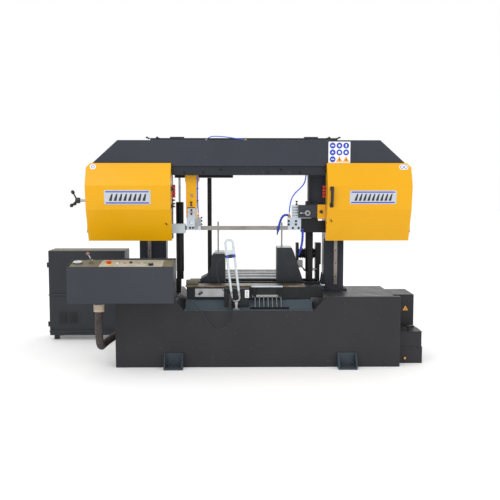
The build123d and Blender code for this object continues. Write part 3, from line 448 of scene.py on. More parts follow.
class Piece:
    """Shapes that make one object, each shape with its own finish."""

    def __init__(self, name):
        self.name, self.corners, self.faces, self.marks, self.finishes = name, [], [], [], []

    def add(self, shape, finish, place=Matrix()):
        corners, faces = shape
        if finish not in self.finishes:
            self.finishes.append(finish)
        first, mark = len(self.corners), self.finishes.index(finish)
        self.corners += [place @ corner for corner in corners]
        self.faces += [[first + i for i in face] for face in faces]
        self.marks += [mark] * len(faces)
        return self

    def done(self, body, slot, *nodes):
        mesh = bpy.data.meshes.new(self.name)
        mesh.from_pydata(self.corners, [], self.faces)
        for finish in self.finishes:
            mesh.materials.append(finish)
        mesh.polygons.foreach_set("material_index", self.marks)
        shaded(mesh)
        piece = bpy.data.objects.new(self.name, mesh)
        return settled(piece, body, slot, *nodes)


def settled(piece, body, slot, *nodes):
    """Link a finished object, let it ride on its body and stand for its nodes."""
    if piece.name not in bpy.context.scene.collection.objects:
        bpy.context.scene.collection.objects.link(piece)
    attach(piece, body)
    if nodes:
        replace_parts(piece, *nodes)
    return piece


def here(x, y, z, outward=(0, 0, 1), right=(1, 0, 0)):
    """A place in mm with its own outward direction."""
    return lined_up(mm(x, y, z), outward, right)


front = (0, -1, 0)
print("front of the machine faces", front)

# %% [markdown]
# ## Cords
#
# Two flexible leads hang on the front: a control cable from the console to a connector, and the
# lamp's own lead. A third, thick ribbed sleeve drops from the console into the base and holds the
# wiring. A cable is a fixed length that hangs by its own weight, so each is one smooth NURBS line
# through a few given points. A chain of straight tubes would look like bent wire.

# %% Cord routes
control_route = [(-607, -440, 532), (-520, -440, 516), (-440, -442, 440), (-385, -444, 345),
                 (-325, -445, 285), (-262, -443, 290), (-226, -428, 345), (-222, -413, 400),
                 (-221, -410, 450)]
lamp_route = [(-251, -341, 808), (-284, -359, 801), (-313, -359, 752), (-319, -359, 692),
              (-308, -359, 634), (-284, -359, 580), (-254, -359, 538), (-221, -357, 507),
              (-193, -343, 489)]
sleeve_route = [(-1142, -540, 450), (-1146, -540, 268), (-1156, -424, 154), (-1160, -254, 152),
                (-1051, -130, 215)]


def hanging_line(name, route, radius=0.0):
    """A NURBS line through the route, as thick as radius in mm."""
    curve = bpy.data.curves.new(name, "CURVE")
    curve.dimensions, curve.resolution_u = "3D", 24
    curve.bevel_depth, curve.bevel_resolution, curve.use_fill_caps = radius / 1000, 4, True
    line = curve.splines.new("NURBS")
    line.points.add(len(route) - 1)
    for point, place in zip(line.points, route):
        point.co = (*mm(*place), 1)
    line.order_u, line.use_endpoint_u = 3, True
    return bpy.data.objects.new(name, curve)


def points_along(route):
    """Points read from the smooth line itself, for pieces that follow it."""
    guide = hanging_line("guide", route)
    mesh = bpy.data.meshes.new_from_object(guide)
    points = [v.co.copy() for v in mesh.vertices]
    bpy.data.objects.remove(guide)
    return points


def length_of(points):
    return sum((b - a).length for a, b in zip(points, points[1:]))


def relief(radius, long=34):
    """A tapered, ringed strain relief that a lead leaves a housing through."""
    profile = [(0, 0), (radius + 5, 0), (radius + 5, 5), (radius + 3.6, 6)]
    for i in range(5):
        z = 8 + i * (long - 10) / 5
        wide = radius + 3.2 - 2.2 * i / 5
        profile += [(wide, z), (wide, z + 2.4), (wide - 1, z + 3), (wide - 1, z + 4)]
    profile += [(radius + 0.7, long), (radius * 0.6, long), (0, long)]
    return turned(profile, 20)


print("control cable", round(1000 * length_of(points_along(control_route))), "mm")

# %% Leads with their reliefs
for name, route, body, radius, node in (
        ("control_cable_lead", control_route, "base", 3.5, "control_cable"),
        ("lamp_lead_cable", lamp_route, "lamp_arm", 2.5, "lamp_lead")):
    lead = hanging_line(name, route, radius)
    lead.data.materials.append(cable_rubber)
    settled(lead, body, "cable_black", node)
    points = points_along(route)
    ends = Piece(name + "_reliefs")
    ends.add(relief(radius), black_plastic, lined_up(points[0], points[6] - points[0]))
    ends.add(relief(radius, 24), black_plastic, lined_up(points[-1], points[-7] - points[-1]))
    boots = ends.done(body, "black_plastic")
    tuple(points[0])
    round(length_of(points), 3)
    print(name, round(1000 * length_of(points)), "mm long")

# %% Ribbed sleeve
sleeve_points = points_along(sleeve_route)
sleeve_r, rib_pitch, rib_depth = 28, 7, 1.8


def ribs(way):
    return sleeve_r - rib_depth * (0.5 - 0.5 * math.cos(math.tau * way * 1000 / rib_pitch))


def evenly(points, step_mm):
    """The same line with points a fixed way apart."""
    found, left, step = [points[0]], step_mm / 1000, step_mm / 1000
    for a, b in zip(points, points[1:]):
        run = (b - a).length
        way = left
        while way < run:
            found.append(a.lerp(b, way / run))
            way += step
        left = way - run
    return found + [points[-1]]


fine_line = evenly(sleeve_points, rib_pitch / 5)
sleeve = Piece("wiring_sleeve").add(swept(fine_line, ribs, 24), sleeve_rubber)
sleeve = sleeve.done("base", "hose_black", "hose_sleeve")
collar = Piece("sleeve_collar")
collar_z = box("console").z0 - 2
for z, tall in ((collar_z, 30), (collar_z + 30, 22)):
    collar.add(turned([(28.5, z), (36, z), (37, z + 2), (37, z + tall - 3), (36, z + tall),
        (28.5, z + tall)], 32),
               beige_collar, Matrix.Translation(mm(sleeve_route[0][0], sleeve_route[0][1], 0)))
collar = collar.done("base", "hose_black")
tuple(sleeve_points[0])
round(length_of(sleeve_points), 3)
print("sleeve", round(1000 * length_of(sleeve_points)), "mm long")

# %% [markdown]
# ## The CAD shapes with rolled edges
#
# Folded sheet and castings have no knife edges. A copy of each node is cleaned up, so that its
# flat faces are whole again, and a Bevel modifier rolls every edge that turns by more than 30
# degrees. Harden Normals keeps the flats flat, so the light catches only the roll. The node
# itself is never touched: the copy stands for it, at the same size.

# %% Roll the edges of a node
def rolled(node, finish, width_mm, zones=(), angle=30):
    """A copy of a node with rolled edges. zones are (finish, rule on a face centre in mm)."""
    source = frame["nodes"][node]
    slot = source.data.materials[0].name
    mesh = source.data.copy()
    mesh.materials.clear()
    for coat in (finish, *(coat for coat, _ in zones)):
        mesh.materials.append(coat)
    work = bmesh.new()
    work.from_mesh(mesh)
    bmesh.ops.remove_doubles(work, verts=work.verts[:], dist=1e-5)
    bmesh.ops.dissolve_limit(work, angle_limit=math.radians(0.5), verts=work.verts[:],
        edges=work.edges[:])
    for face in work.faces:
        face.material_index = 0
    work.to_mesh(mesh)
    work.free()
    piece = bpy.data.objects.new(node + "_finished", mesh)
    bpy.context.scene.collection.objects.link(piece)
    shaded(mesh, angle)
    roll = piece.modifiers.new("roll", "BEVEL")
    roll.width, roll.segments, roll.limit_method = width_mm / 1000, 2, "ANGLE"
    roll.angle_limit, roll.harden_normals, roll.use_clamp_overlap = math.radians(angle), True, True
    seen = piece.evaluated_get(bpy.context.evaluated_depsgraph_get())
    done = bpy.data.meshes.new_from_object(seen)
    piece.modifiers.clear()
    piece.data = done
    for face in done.polygons:
        centre = face.center * 1000
        for index, (_, rule) in enumerate(zones):
            if rule(centre):
                face.material_index = index + 1
    settled(piece, frame["nodes"][node]["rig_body"], slot, node)
    return piece


cabinet_box = box("cabinet")
plain_nodes = {
    "base_shell": (base_paint, 3), "foot_brackets": (apron_paint, 1.5), "bed_frame": (bed_cast, 2),
    "columns": (beam_paint, 2.5), "column_rails": (rail_steel, 0.8), "vise_ways": (chrome, 0.5),
    "lift_cylinders": (black_paint, 1.5), "vise_drive": (black_paint, 1),
    "limit_post": (black_paint, 1.5), "infeed_frame": (base_paint, 1.2), "side_box": (base_paint, 2),
    "coolant_tank": (base_paint, 1.5), "tank_lid": (base_paint, 0.6), "cable_duct": (cabinet_paint, 1.5),
    "console": (console_paint, 1.4), "console_bracket": (console_paint, 1),
    "wheel_housings": (beam_paint, 2), "left_cover": (yellow_paint, 1.6),
        "right_cover": (yellow_paint, 1.6),
    "bow_brackets": (beam_paint, 1.5), "carriages": (bright_steel, 1), "lift_rods": (chrome, 0.5),
    "idler_wheel": (dark_cast, 1.2), "drive_wheel": (dark_cast, 1.2), "gear_motor": (black_paint, 1),
}
for i in range(1, 5):
    plain_nodes[f"roller_{i}"] = (bright_steel, 1)
for node, (finish, width) in plain_nodes.items():
    rolled(node, finish, width)
print(len(plain_nodes), "nodes with rolled edges")

# %% Nodes that carry more than one finish
jaw_top = box("fixed_jaw").z0 + 214
pin_zone = [(chrome, lambda p: p.z > jaw_top + 20)]
rolled("fixed_jaw", dark_cast, 2.5, pin_zone + [(milled_steel, lambda p: p.z > jaw_top)])
moving_top = box("fixed_jaw").z0 + 264
rolled("moving_jaw", dark_cast, 2.5, [(chrome, lambda p: p.z > moving_top + 6),
                                      (milled_steel, lambda p: p.z > moving_top - 1)])
plates_box = box("table_plates")
rolled("table_plates", table_iron, 0.8, [(guide_alloy, lambda p: p.y < plates_box.y0 + 1 and p.x > -66)])
rolled("outfeed_front", bed_cast, 1.2, [(bright_steel, lambda p: p.x < box("outfeed_front").x0 + 216)])
rim = box("base_shell").z1 - 102
# The tray gets the lightened slate paint, which stands in for light that its shade takes away.
rolled("chip_tray", shade_lifted_tray_paint, 1)
rolled("cabinet_door", cabinet_paint, 1.5, [(base_paint, lambda p: p.z < 392)])
rolled("bow_beam", beam_paint, 2.5, [(channel_paint, lambda p: p.z < 1466 and -657 < p.x < 495)])
arm_box, head_box = box("guide_arm"), box("guide_head")
rolled("guide_arm", yellow_paint, 2)
rolled("guide_head", guide_alloy, 1.5)
bracket_x = box("right_guide").x0 + 221
rolled("right_guide", beam_paint, 1.6, [
    (yellow_paint, lambda p: p.x > bracket_x and p.y < -125),
    (guide_alloy, lambda p: p.z < 1081 and p.x < bracket_x - 110 or p.x < bracket_x - 141)])
rolled("blade_guards", guard_paint, 2, [(black_paint, lambda p: p.x > 0)])
rolled("outfeed_grate", black_paint, 0.8, [(milled_steel, lambda p: -60 < p.x < 170 and 435 < p.z < 515)])
rolled("console_panel", khaki_paint, 0.6)
rolled("lamp_base", bright_steel, 0.8, [(black_plastic, lambda p: p.x < -200)])
print("mixed finishes done")

# %% [markdown]
# ## Bolts, made once and repeated
#
# A machine has dozens of the same screw. Geometry Nodes put one head on every point of a small
# point mesh, turned to face the way stored with the point. The tree has named sizes, so a row of
# M16 nuts and a row of M6 cap screws are the same tree with other values. Copying objects by hand
# would give the same picture, but nothing could be changed afterwards. At the end the instances
# are made real, because an export keeps only real meshes.

# %% A tree that puts one part on every point
def repeat_tree(name, sizes, part, finish):
    """A tree with named sizes. part(tree, inlet) builds the shape that goes on every point."""
    tree = bpy.data.node_groups.new(name, "GeometryNodeTree")
    face = tree.interface
    face.new_socket(name="Points", in_out="INPUT", socket_type="NodeSocketGeometry")
    for label, value in sizes.items():
        face.new_socket(name=label, in_out="INPUT", socket_type="NodeSocketFloat").default_value = value
    face.new_socket(name="Geometry", in_out="OUTPUT", socket_type="NodeSocketGeometry")
    inlet = add(tree, "NodeGroupInput").outputs
    facing = add(tree, "GeometryNodeInputNamedAttribute", {"Name": "facing"}, data_type="FLOAT_VECTOR")
    turn = add(tree, "FunctionNodeAlignRotationToVector", {"Vector": facing.outputs[0]}, axis="Z")
    spread = add(tree, "GeometryNodeInstanceOnPoints", {
        "Points": inlet["Points"], "Instance": part(tree, inlet), "Rotation": turn.outputs[0]})
    real = add(tree, "GeometryNodeRealizeInstances", {"Geometry": spread.outputs[0]})
    coat = add(tree, "GeometryNodeSetMaterial", {"Geometry": real.outputs[0], "Material": finish})
    add(tree, "NodeGroupOutput", {"Geometry": coat.outputs[0]})
    return tree


def stacked(tree, shapes):
    """Meshes joined, each lifted by its own height."""
    join = add(tree, "GeometryNodeJoinGeometry")
    for mesh, lift in shapes:
        height = add(tree, "ShaderNodeCombineXYZ", {"Z": lift})
        lifted = add(tree, "GeometryNodeTransform", {"Geometry": mesh, "Translation": height.outputs[0]})
        tree.links.new(lifted.outputs[0], join.inputs[0])
    return join.outputs[0]


def scaled(tree, value, by):
    return add(tree, "ShaderNodeMath", {0: value, 1: by}, operation="MULTIPLY").outputs[0]


def screw_head(sides):
    """A head with sides corners and a broken top edge, on a washer."""
    def part(tree, inlet):
        radius, high = inlet["Head radius"], inlet["Head height"]
        washer = add(tree, "GeometryNodeMeshCylinder", {
            "Vertices": 20, "Radius": scaled(tree, radius, 1.25), "Depth": scaled(tree, high, 0.3)})
        head = add(tree, "GeometryNodeMeshCylinder", {"Vertices": sides, "Radius": radius, "Depth": high})
        rim = add(tree, "GeometryNodeMeshCone", {
            "Vertices": sides, "Radius Top": scaled(tree, radius, 0.8), "Radius Bottom": radius,
            "Depth": scaled(tree, high, 0.2)})
        return stacked(tree, [(washer.outputs[0], scaled(tree, high, 0.15)),
                              (head.outputs[0], scaled(tree, high, 0.75)),
                              (rim.outputs[0], scaled(tree, high, 1.25))])
    return part


def repeated(name, tree, values, places, body, slot):
    """The tree on (x, y, z, outward) places in mm, made into one plain mesh."""
    mesh = bpy.data.meshes.new(name)
    mesh.from_pydata([mm(x, y, z) for x, y, z, _ in places], [], [])
    facing = mesh.attributes.new("facing", "FLOAT_VECTOR", "POINT")
    facing.data.foreach_set("vector", [v for *_, way in places for v in way])
    piece = bpy.data.objects.new(name, mesh)
    bpy.context.scene.collection.objects.link(piece)
    repeat = piece.modifiers.new("repeat", "NODES")
    repeat.node_group = tree
    for item in tree.interface.items_tree:
        if item.in_out == "INPUT" and item.name in values:
            repeat[item.identifier] = values[item.name] / 1000
    seen = piece.evaluated_get(bpy.context.evaluated_depsgraph_get())
    done = bpy.data.meshes.new_from_object(seen)
    piece.modifiers.clear()
    piece.data = done
    shaded(done)
    return settled(piece, body, slot)


sizes = {"Head radius": 0.008, "Head height": 0.008}
hex_tree = repeat_tree("hex_bolts", sizes, screw_head(6), bright_steel)
dark_hex_tree = repeat_tree("blackened_hex_bolts", sizes, screw_head(6), black_paint)
cap_tree = repeat_tree("cap_screws", sizes, screw_head(16), black_plastic)
print("screw trees", hex_tree.name, cap_tree.name)

# %% Screws on the frame, the bow and the guides
up, down, right, left = (0, 0, 1), (0, 0, -1), (1, 0, 0), (-1, 0, 0)
columns_box, beam_box = box("columns"), box("bow_beam")
flange_z = columns_box.z0 + 14
flange_bolts = []
for x in (-954, -724, 508, 686):
    for y in (columns_box.y0 + 14, columns_box.y1 - 14):
        flange_bolts.append((x, y, flange_z, up))
repeated("column_flange_bolts", hex_tree, {"Head radius": 11, "Head height": 10}, flange_bolts, "base",
    "bare_steel")
tie_bolts = [(x + dx, 240 + dy, columns_box.z1 - 13, up)
             for x in (-839, 597) for dx in (-40, 40) for dy in (-60, 50)]
repeated("tie_bar_bolts", dark_hex_tree, {"Head radius": 9, "Head height": 8}, tie_bolts, "base",
    "black_paint")
channel_face = beam_box.y0 + 10
beam_bolts = [(x, channel_face, 1440, front) for x in (-289, 160)]
beam_bolts += [(x, channel_face, 1418, front) for x in (-560, -420, 60, 300)]
repeated("beam_channel_bolts", dark_hex_tree, {"Head radius": 6, "Head height": 6}, beam_bolts, "bow",
    "black_paint")
rail_face = box("column_rails").y0 + 2.6
rail_bolts = [(x, rail_face, z, front) for x in (-864, 610) for z in range(600, 1130, 105)]
repeated("rail_bolts", cap_tree, {"Head radius": 5, "Head height": 3}, rail_bolts, "base",
    "black_plastic")
head_screws = [(arm_box.x0 + 45, head_box.y0, z, front) for z in (1136, 1108)]
head_screws += [(head_box.x1, -72, z, right) for z in (1079, 1054, 1028)]
head_screws += [(head_box.x1 - 60 + dx, head_box.y0, 1003, front) for dx in (-22, 0)]
repeated("left_head_screws", cap_tree, {"Head radius": 7, "Head height": 7}, head_screws, "left_guide",
    "black_plastic")
right_box = box("right_guide")
right_screws = [(right_box.x0 + dx, -106, z, front) for dx in (8, 63) for z in (1053, 1028)]
right_screws += [(right_box.x0 + dx, -106, 1001, front) for dx in (40, 84)]
repeated("right_head_screws", cap_tree, {"Head radius": 7, "Head height": 7}, right_screws, "bow",
    "black_plastic")
door = box("cabinet_door")
cap_rows = [(x, door.y0, z, front) for x in (door.x0 + 40, door.x1 - 34) for z in (door.z0 + 60,
    door.z1 - 60)]
tank_screws = [(box("coolant_tank").x0 + 60 + 50 * i, box("coolant_tank").y0, 112,
    front) for i in range(3)]
repeated("tank_screws", cap_tree, {"Head radius": 4, "Head height": 3}, tank_screws, "base",
    "black_plastic")
repeated("door_screws", cap_tree, {"Head radius": 4, "Head height": 3}, cap_rows, "cabinet_door",
    "black_plastic")
print("screws placed")

# %% [markdown]
# ## Wheel covers
#
# The two covers are folded sheet with four facets, sprayed amber. Each carries a brushed badge
# with a printed motif, a quarter-turn latch and a small sticker, and the right one a long black
# grip. The badge lies on its facet, so its place and tilt are read from the cover by a ray. The
# print is thin raised film rather than a picture, so it also shows in the exported mesh.

# %% Badges
left_cover, right_cover = box("left_cover"), box("right_cover")


def on(node, x, z):
    """A place on the front of a node."""
    place, outward = touch(node, (x, -2000, z), (0, 1, 0))
    return lined_up(place, outward)


def film(outline, lift=0.0, thick=0.35):
    """Printed film lifted by lift mm above its plate."""
    corners, faces = plate(outline, thick)
    return [corner + mm(0, 0, lift) for corner in corners], faces


def moved(outline, dx, dy):
    return [(x + dx, y + dy) for x, y in outline]


def badge(name, node, x, z, wide, tall, strokes):
    piece = Piece(name)
    place = on(node, x, z)
    piece.add(plate(oblong(wide, tall, 8), 2.2, 0.8), badge_silver, place)
    for side in (-1, 1):
        stripe = moved(oblong(wide - 22, 9, 2), 0, side * (tall / 2 - 12))
        piece.add(film(stripe, 2.2), vinyl_blue, place)
    pitch = (wide - 60) / strokes
    for i in range(strokes):
        foot, lean = -wide / 2 + 34 + i * pitch, 9
        tooth = [(foot, -26), (foot + pitch * 0.62, -26), (foot + pitch * 0.62 + lean, 26),
                 (foot + pitch * 0.34 + lean, 26), (foot + pitch * 0.2, -6)]
        piece.add(film(tooth, 2.2), vinyl_black, place)
    piece.done(node, "bare_steel")


badge("left_badge", "left_cover", left_cover.x1 - 314, left_cover.z0 + 326, 339, 106, 8)
badge("right_badge", "right_cover", right_cover.x0 + 334, right_cover.z0 + 326, 343, 101, 9)
print("badges on", "left_cover", "right_cover")

# %% Grip, latches and stickers
grip = Piece("cover_grip")
foot, head = touch("right_cover", (526, -2000, 1178), (0, 1, 0))[0], touch("right_cover",
    (526, -2000, 1298), (0, 1, 0))[0]
grip_line = [foot + mm(0, 4, -4), foot + mm(0, -24, 4), foot + mm(0, -27, 22), head + mm(0, -27, -22),
             head + mm(0, -24, -4), head + mm(0, 4, 4)]
smooth_grip = []
for a, b, c in zip(grip_line, grip_line[1:], grip_line[2:]):
    smooth_grip += [a.lerp(b, 0.5).lerp(b, t).lerp(b.lerp(c, 0.5), t) for t in (0, 0.25, 0.5, 0.75)]
grip.add(swept([grip_line[0]] + smooth_grip + [grip_line[-1]], 11, 16), black_plastic)
for end in (foot, head):
    grip.add(plate(oblong(30, 34, 8), 5, 1.5), black_plastic, lined_up(end + mm(0, 1, 0), front))
grip.done("right_cover", "black_plastic")

latch_profile = [(0, -2), (15, -2), (15, 1), (13.5, 2.5), (9, 2.5), (8, 4), (0, 4)]
for node, body, x, z in (("right_cover", "right_cover", 528, 1065),
        ("left_cover", "left_cover", -693, 1041)):
    latch, place = Piece(body + "_latch"), on(node, x, z)
    latch.add(turned(latch_profile), yellow_paint, place)
    latch.add(block(7, 22, 5, 1.5), black_plastic,
        place @ Matrix.Rotation(0.5, 4, "Z") @ Matrix.Translation(mm(0, 0, 5)))
    latch.done(body, "black_plastic")

inner_latches = Piece("cover_side_latches")
for z in (1297, 1170):
    inner_latches.add(block(12, 26, 34, 3), black_plastic, here(left_cover.x1 + 4, -210, z))
    inner_latches.add(turned([(0, 0), (9, 0), (9, 8), (6, 10), (0, 10)]), black_plastic,
                      here(left_cover.x1 + 9, -210, z, right, up))
inner_latches.done("left_cover", "black_plastic")

for node, x, z, wide in (("left_cover", left_cover.x1 - 571, 1459, 44),
        ("right_cover", right_cover.x1 - 70, 1457, 66)):
    sticker, place = Piece(node + "_sticker"), on(node, x, z)
    sticker.add(plate(oblong(wide, 40, 18), 0.5), vinyl_white, place)
    for i in range(2 if wide > 50 else 1):
        dx = (i - 0.5) * 28 if wide > 50 else 0
        outer, inner = ring_of(13, 20, 60), ring_of(8.5, 20, 60)
        sticker.add(film(moved(outer, dx, 0), 0.5), vinyl_blue, place)
        sticker.add(film(moved(inner, dx, 0), 0.9), vinyl_white, place)
    sticker.done(node, "white_plastic")
print("grip, latches and stickers on")

# %% [markdown]
# ## Sign plate on the beam
#
# Machines carry a plate with round blue "do this" signs and amber triangles. These ones are
# plain shapes in a three by three grid, set out by a loop, with simple marks that belong to no
# standard sheet.

# %% Sign plate
sign, sign_place = Piece("beam_sign_plate"), here(588, beam_box.y0, 1566, front)
sign.add(plate(oblong(162, 158, 4), 1.2, 0.3), vinyl_white, sign_place)
sign_marks = [oblong(22, 9, 3), ring_of(9, 6), oblong(9, 22, 3), ring_of(10, 3, 90), oblong(18, 18, 5),
              ring_of(10, 5, 90), oblong(24, 6, 2)]
for i in range(9):
    dx, dy = (i % 3 - 1) * 50, (1 - i // 3) * 50
    if i < 7:
        sign.add(film(moved(ring_of(22, 28), dx, dy), 1.2), vinyl_blue, sign_place)
        sign.add(film(moved(sign_marks[i], dx, dy), 1.6), vinyl_white, sign_place)
    else:
        sign.add(film(moved(ring_of(27, 3, 90), dx, dy - 5), 1.2), vinyl_amber, sign_place)
        sign.add(film(moved(oblong(6, 17, 2), dx, dy - 3), 1.6), vinyl_black, sign_place)
sign.done("bow", "white_plastic")

side = box("side_box")
hazard = Piece("side_box_sign")
hazard.add(plate(ring_of(24, 3, 90), 0.8), vinyl_amber, here(side.x0 + 101, side.y0, 380, front))
hazard.add(film(oblong(5, 14, 2), 0.8), vinyl_black, here(side.x0 + 101, side.y0, 380, front))
hazard.done("base", "yellow_paint")

note, note_place = Piece("bed_label"), here(-97, box("outfeed_front").y0 + 1, 529, front)
note.add(plate(oblong(30, 58, 2), 2), vinyl_white, note_place)
for i in range(5):
    note.add(film(moved(oblong(20 - 4 * (i % 2), 3, 1), 0, 20 - 10 * i), 2), vinyl_black, note_place)
note.done("base", "white_plastic")
print("signs on the beam, the side box and the bed")

# %% [markdown]
# ## The saw band
#
# The band is one welded loop of hardened steel, 34 mm wide. It lies flat on the wheels, and the
# guides twist it upright for the cut. Its shape follows a rule, so one loop walks round the path
# and sets down a section wherever a tooth starts, falls and ends. A bump map could fake the
# teeth, but the exported mesh would then have a smooth edge.

# %% Saw band with its teeth
band = box("saw_blade")
band_y, band_wide, band_thick = (band.y0 + band.y1) / 2, 34, 1.3
wheel_high = band.z1 - 0.6
axle_z = (box("idler_wheel").z0 + box("idler_wheel").z1) / 2
loop_r = wheel_high - axle_z
axle_left, axle_right = [(box(n).x0 + box(n).x1) / 2 for n in ("idler_wheel", "drive_wheel")]
cut_start, cut_end = head_box.x0 - 23, right_box.x0 + 132
tooth_pitch, tooth_deep = 9.0, 3.4


def band_at(way):
    """Place (x, z), outward direction (x, z) and twist in degrees, for a way in mm round the loop."""
    run, half = axle_right - axle_left, math.pi * loop_r
    way %= 2 * (run + half)
    if way < run:
        x = axle_left + way
        twist = 90.0
        if x < cut_start:
            twist = 90 * (x - axle_left) / (cut_start - axle_left)
        elif x > cut_end:
            twist = 90 * (axle_right - x) / (axle_right - cut_end)
        return x, axle_z - loop_r, 0.0, -1.0, twist
    if way < run + half:
        a = -math.pi / 2 + (way - run) / loop_r
        across, upward = math.cos(a), math.sin(a)
        return axle_right + loop_r * across, axle_z + loop_r * upward, across, upward, 0.0
    if way < 2 * run + half:
        return axle_right - (way - run - half), axle_z + loop_r, 0.0, 1.0, 0.0
    a = math.pi / 2 + (way - 2 * run - half) / loop_r
    return axle_left + loop_r * math.cos(a), axle_z + loop_r * math.sin(a), math.cos(a), math.sin(a), 0.0


loop_length = 2 * (axle_right - axle_left) + 2 * math.pi * loop_r
teeth = round(loop_length / tooth_pitch)
corners, faces = [], []
for i in range(teeth):
    for share, deep in ((0.0, 0.0), (0.28, tooth_deep), (0.55, tooth_deep)):
        x, z, out_x, out_z, twist = band_at((i + share) * loop_length / teeth)
        turn = math.radians(twist)
        across = Vector((0, -math.cos(turn), -math.sin(turn)))
        if out_z > -0.999:
            across = Vector((0, -1, 0))
        flat = Vector((out_x, 0, out_z)) if out_z > -0.999 else Vector((0, math.sin(turn),
            -math.cos(turn)))
        middle = Vector((x, band_y, z))
        for edge in (-band_wide / 2, band_wide / 2 - deep):
            for side in (-1, 1):
                corners.append((middle + across * edge + flat * side * band_thick / 2) / 1000)
rings = len(corners) // 4
for i in range(rings):
    a, b = 4 * i, 4 * ((i + 1) % rings)
    for first, second in ((0, 1), (1, 3), (3, 2), (2, 0)):
        faces.append([a + first, b + first, b + second, a + second])
Piece("saw_band").add((corners, faces), band_steel).done("bow", "blade_steel", "saw_blade")
print("band", round(loop_length), "mm long with", teeth, "teeth")

# %% [markdown]
# ## Operator's console
#
# The console is a folded steel desk with a sloping panel. A white printed plate holds the
# buttons, and brown end plates hold the valve. Every control is turned or moulded as the real
# one is: the stop button is a mushroom on a yellow collar, the push buttons have chromed bezels.
# A control must move with its own joint, so its cap and its collar are separate pieces.

# %% Places on the sloping panel
panel = box("console_panel")
panel_place, panel_up = touch("console_panel", (panel.x1 - 40, (panel.y0 + panel.y1) / 2, 2000), down)


def foot_of(node):
    """Where a control's axis meets the panel."""
    low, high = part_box(node)
    middle = (low + high) / 2
    return middle - panel_up * (middle - panel_place).dot(panel_up)


def on_desk(place, lift=0.0):
    return lined_up(place + panel_up * lift / 1000, panel_up)


def desk_at(x, along):
    """A place on the panel: x across, along up the slope from its middle, in mm."""
    level = Vector((0, 1, 0)) - panel_up * panel_up.y
    middle = mm(x, (panel.y0 + panel.y1) / 2, 0)
    middle.z = panel_place.z - (panel_up.y * (middle.y - panel_place.y)) / panel_up.z
    return middle + level.normalized() * along / 1000


print("panel leans", round(math.degrees(math.acos(panel_up.z)), 1), "degrees")

# %% White plate, print and bezels
sheet = Piece("control_plate")
plate_x, plate_wide, plate_deep, sheet_thick = panel.x0 + 428, 440, 196, 1.2
sheet_place = on_desk(desk_at(plate_x, 0))
sheet.add(plate(oblong(plate_wide, plate_deep, 4), sheet_thick, 0.3), plate_print, sheet_place)
for dx in (-120, 0, 128):
    sheet.add(film(moved(oblong(84, 2, 0.9), dx, 52), sheet_thick), vinyl_black, sheet_place)
    sheet.add(film(moved(oblong(60, 2, 0.9), dx, -58), sheet_thick), vinyl_black, sheet_place)
for i in range(6):
    tick = moved(oblong(9, 4, 1), -150 + 58 * i, 34)
    sheet.add(film(tick, sheet_thick), (vinyl_blue, vinyl_black, vinyl_amber)[i % 3], sheet_place)
for dx in (-214, 214):
    for dy in (-90, 90):
        sheet.add(turned([(0, 0), (3.4, 0), (3.4, 1), (2, 2.2), (0, 2.2)], 14), bright_steel,
                  sheet_place @ Matrix.Translation(mm(dx, dy, 1)))
for node in ("button_white", "button_red", "button_grey", "button_green", "selector"):
    bezel = [(10.4, 0), (15, 0), (15, 3), (13.5, 4.4), (10.4, 4.4)]
    sheet.add(turned(bezel + [bezel[0]], 28), chrome, on_desk(foot_of(node), 1))
collar_ring = [(11.4, 0), (29, 0), (29, 1.5), (26, 3), (11.4, 3), (11.4, 0)]
sheet.add(turned(collar_ring, 32), yellow_plastic, on_desk(foot_of("estop"), 1))
knob_scale = foot_of("feed_knob")
for i in range(11):
    a = math.radians(-150 + 30 * i)
    tick = [(math.sin(a + d) * r, math.cos(a + d) * r) for r,
        d in ((19, -0.03), (24, -0.03), (24, 0.03), (19, 0.03))]
    sheet.add(film(tick, sheet_thick), vinyl_black, on_desk(knob_scale))
sheet.done("base", "panel_alloy")

ends = Piece("panel_end_plates")
for x, wide in ((panel.x0 + 104, 196), (panel.x1 - 38, 66)):
    ends.add(plate(oblong(wide, plate_deep, 3), 1.5, 0.5), khaki_paint, on_desk(desk_at(x, 0)))
    for dx in (-wide / 2 + 9, wide / 2 - 9):
        for dy in (-88, 88):
            place = on_desk(desk_at(x + dx, dy), 1.5)
            ends.add(turned([(0, 0), (4, 0), (3.6, 2), (0, 2.4)], 12), bright_steel, place)
gauge = on_desk(desk_at(panel.x0 + 49, 0))
ends.add(turned([(0, 10.5), (30.6, 10.5), (33, 12), (33, 15), (30, 17), (26, 15.5), (0, 15.5)], 36),
    chrome, gauge)
ends.done("base", "panel_alloy")
print("panel dressed")

# %% Buttons, knobs and levers
cap_profile = [(0, -3), (9.6, -3), (9.6, 5.5), (8.6, 7.4), (6.5, 8.2), (0, 8.4)]
for node, finish in (("button_white", white_plastic), ("button_red", red_plastic),
                     ("button_grey", grey_plastic), ("button_green", green_plastic)):
    cap = Piece(node + "_cap").add(turned(cap_profile), finish, on_desk(foot_of(node)))
    cap.done(node, frame["nodes"][node].data.materials[0].name, node)

mushroom = [(0, 0), (10.6, 0), (10.6, 10), (13, 11), (18.6, 12), (20, 14.5), (19.6, 18.5), (16, 21.4),
    (9, 22.8), (0, 23)]
stop = Piece("emergency_stop_button").add(turned(mushroom, 36), red_plastic, on_desk(foot_of("estop")))
for i in range(3):
    arrow = [(13 * math.cos(a), 13 * math.sin(a)) for a in [math.tau * i / 3 + 0.12 * k for k in range(6)]]
    inner_turns = [math.tau * i / 3 + 0.12 * k for k in range(6)][::-1]
    arrow += [(9.5 * math.cos(a), 9.5 * math.sin(a)) for a in inner_turns]
    stop.add(film(arrow, 22.0, 0.9), white_plastic, on_desk(foot_of("estop")))
stop.done("estop", "red_plastic", "estop")

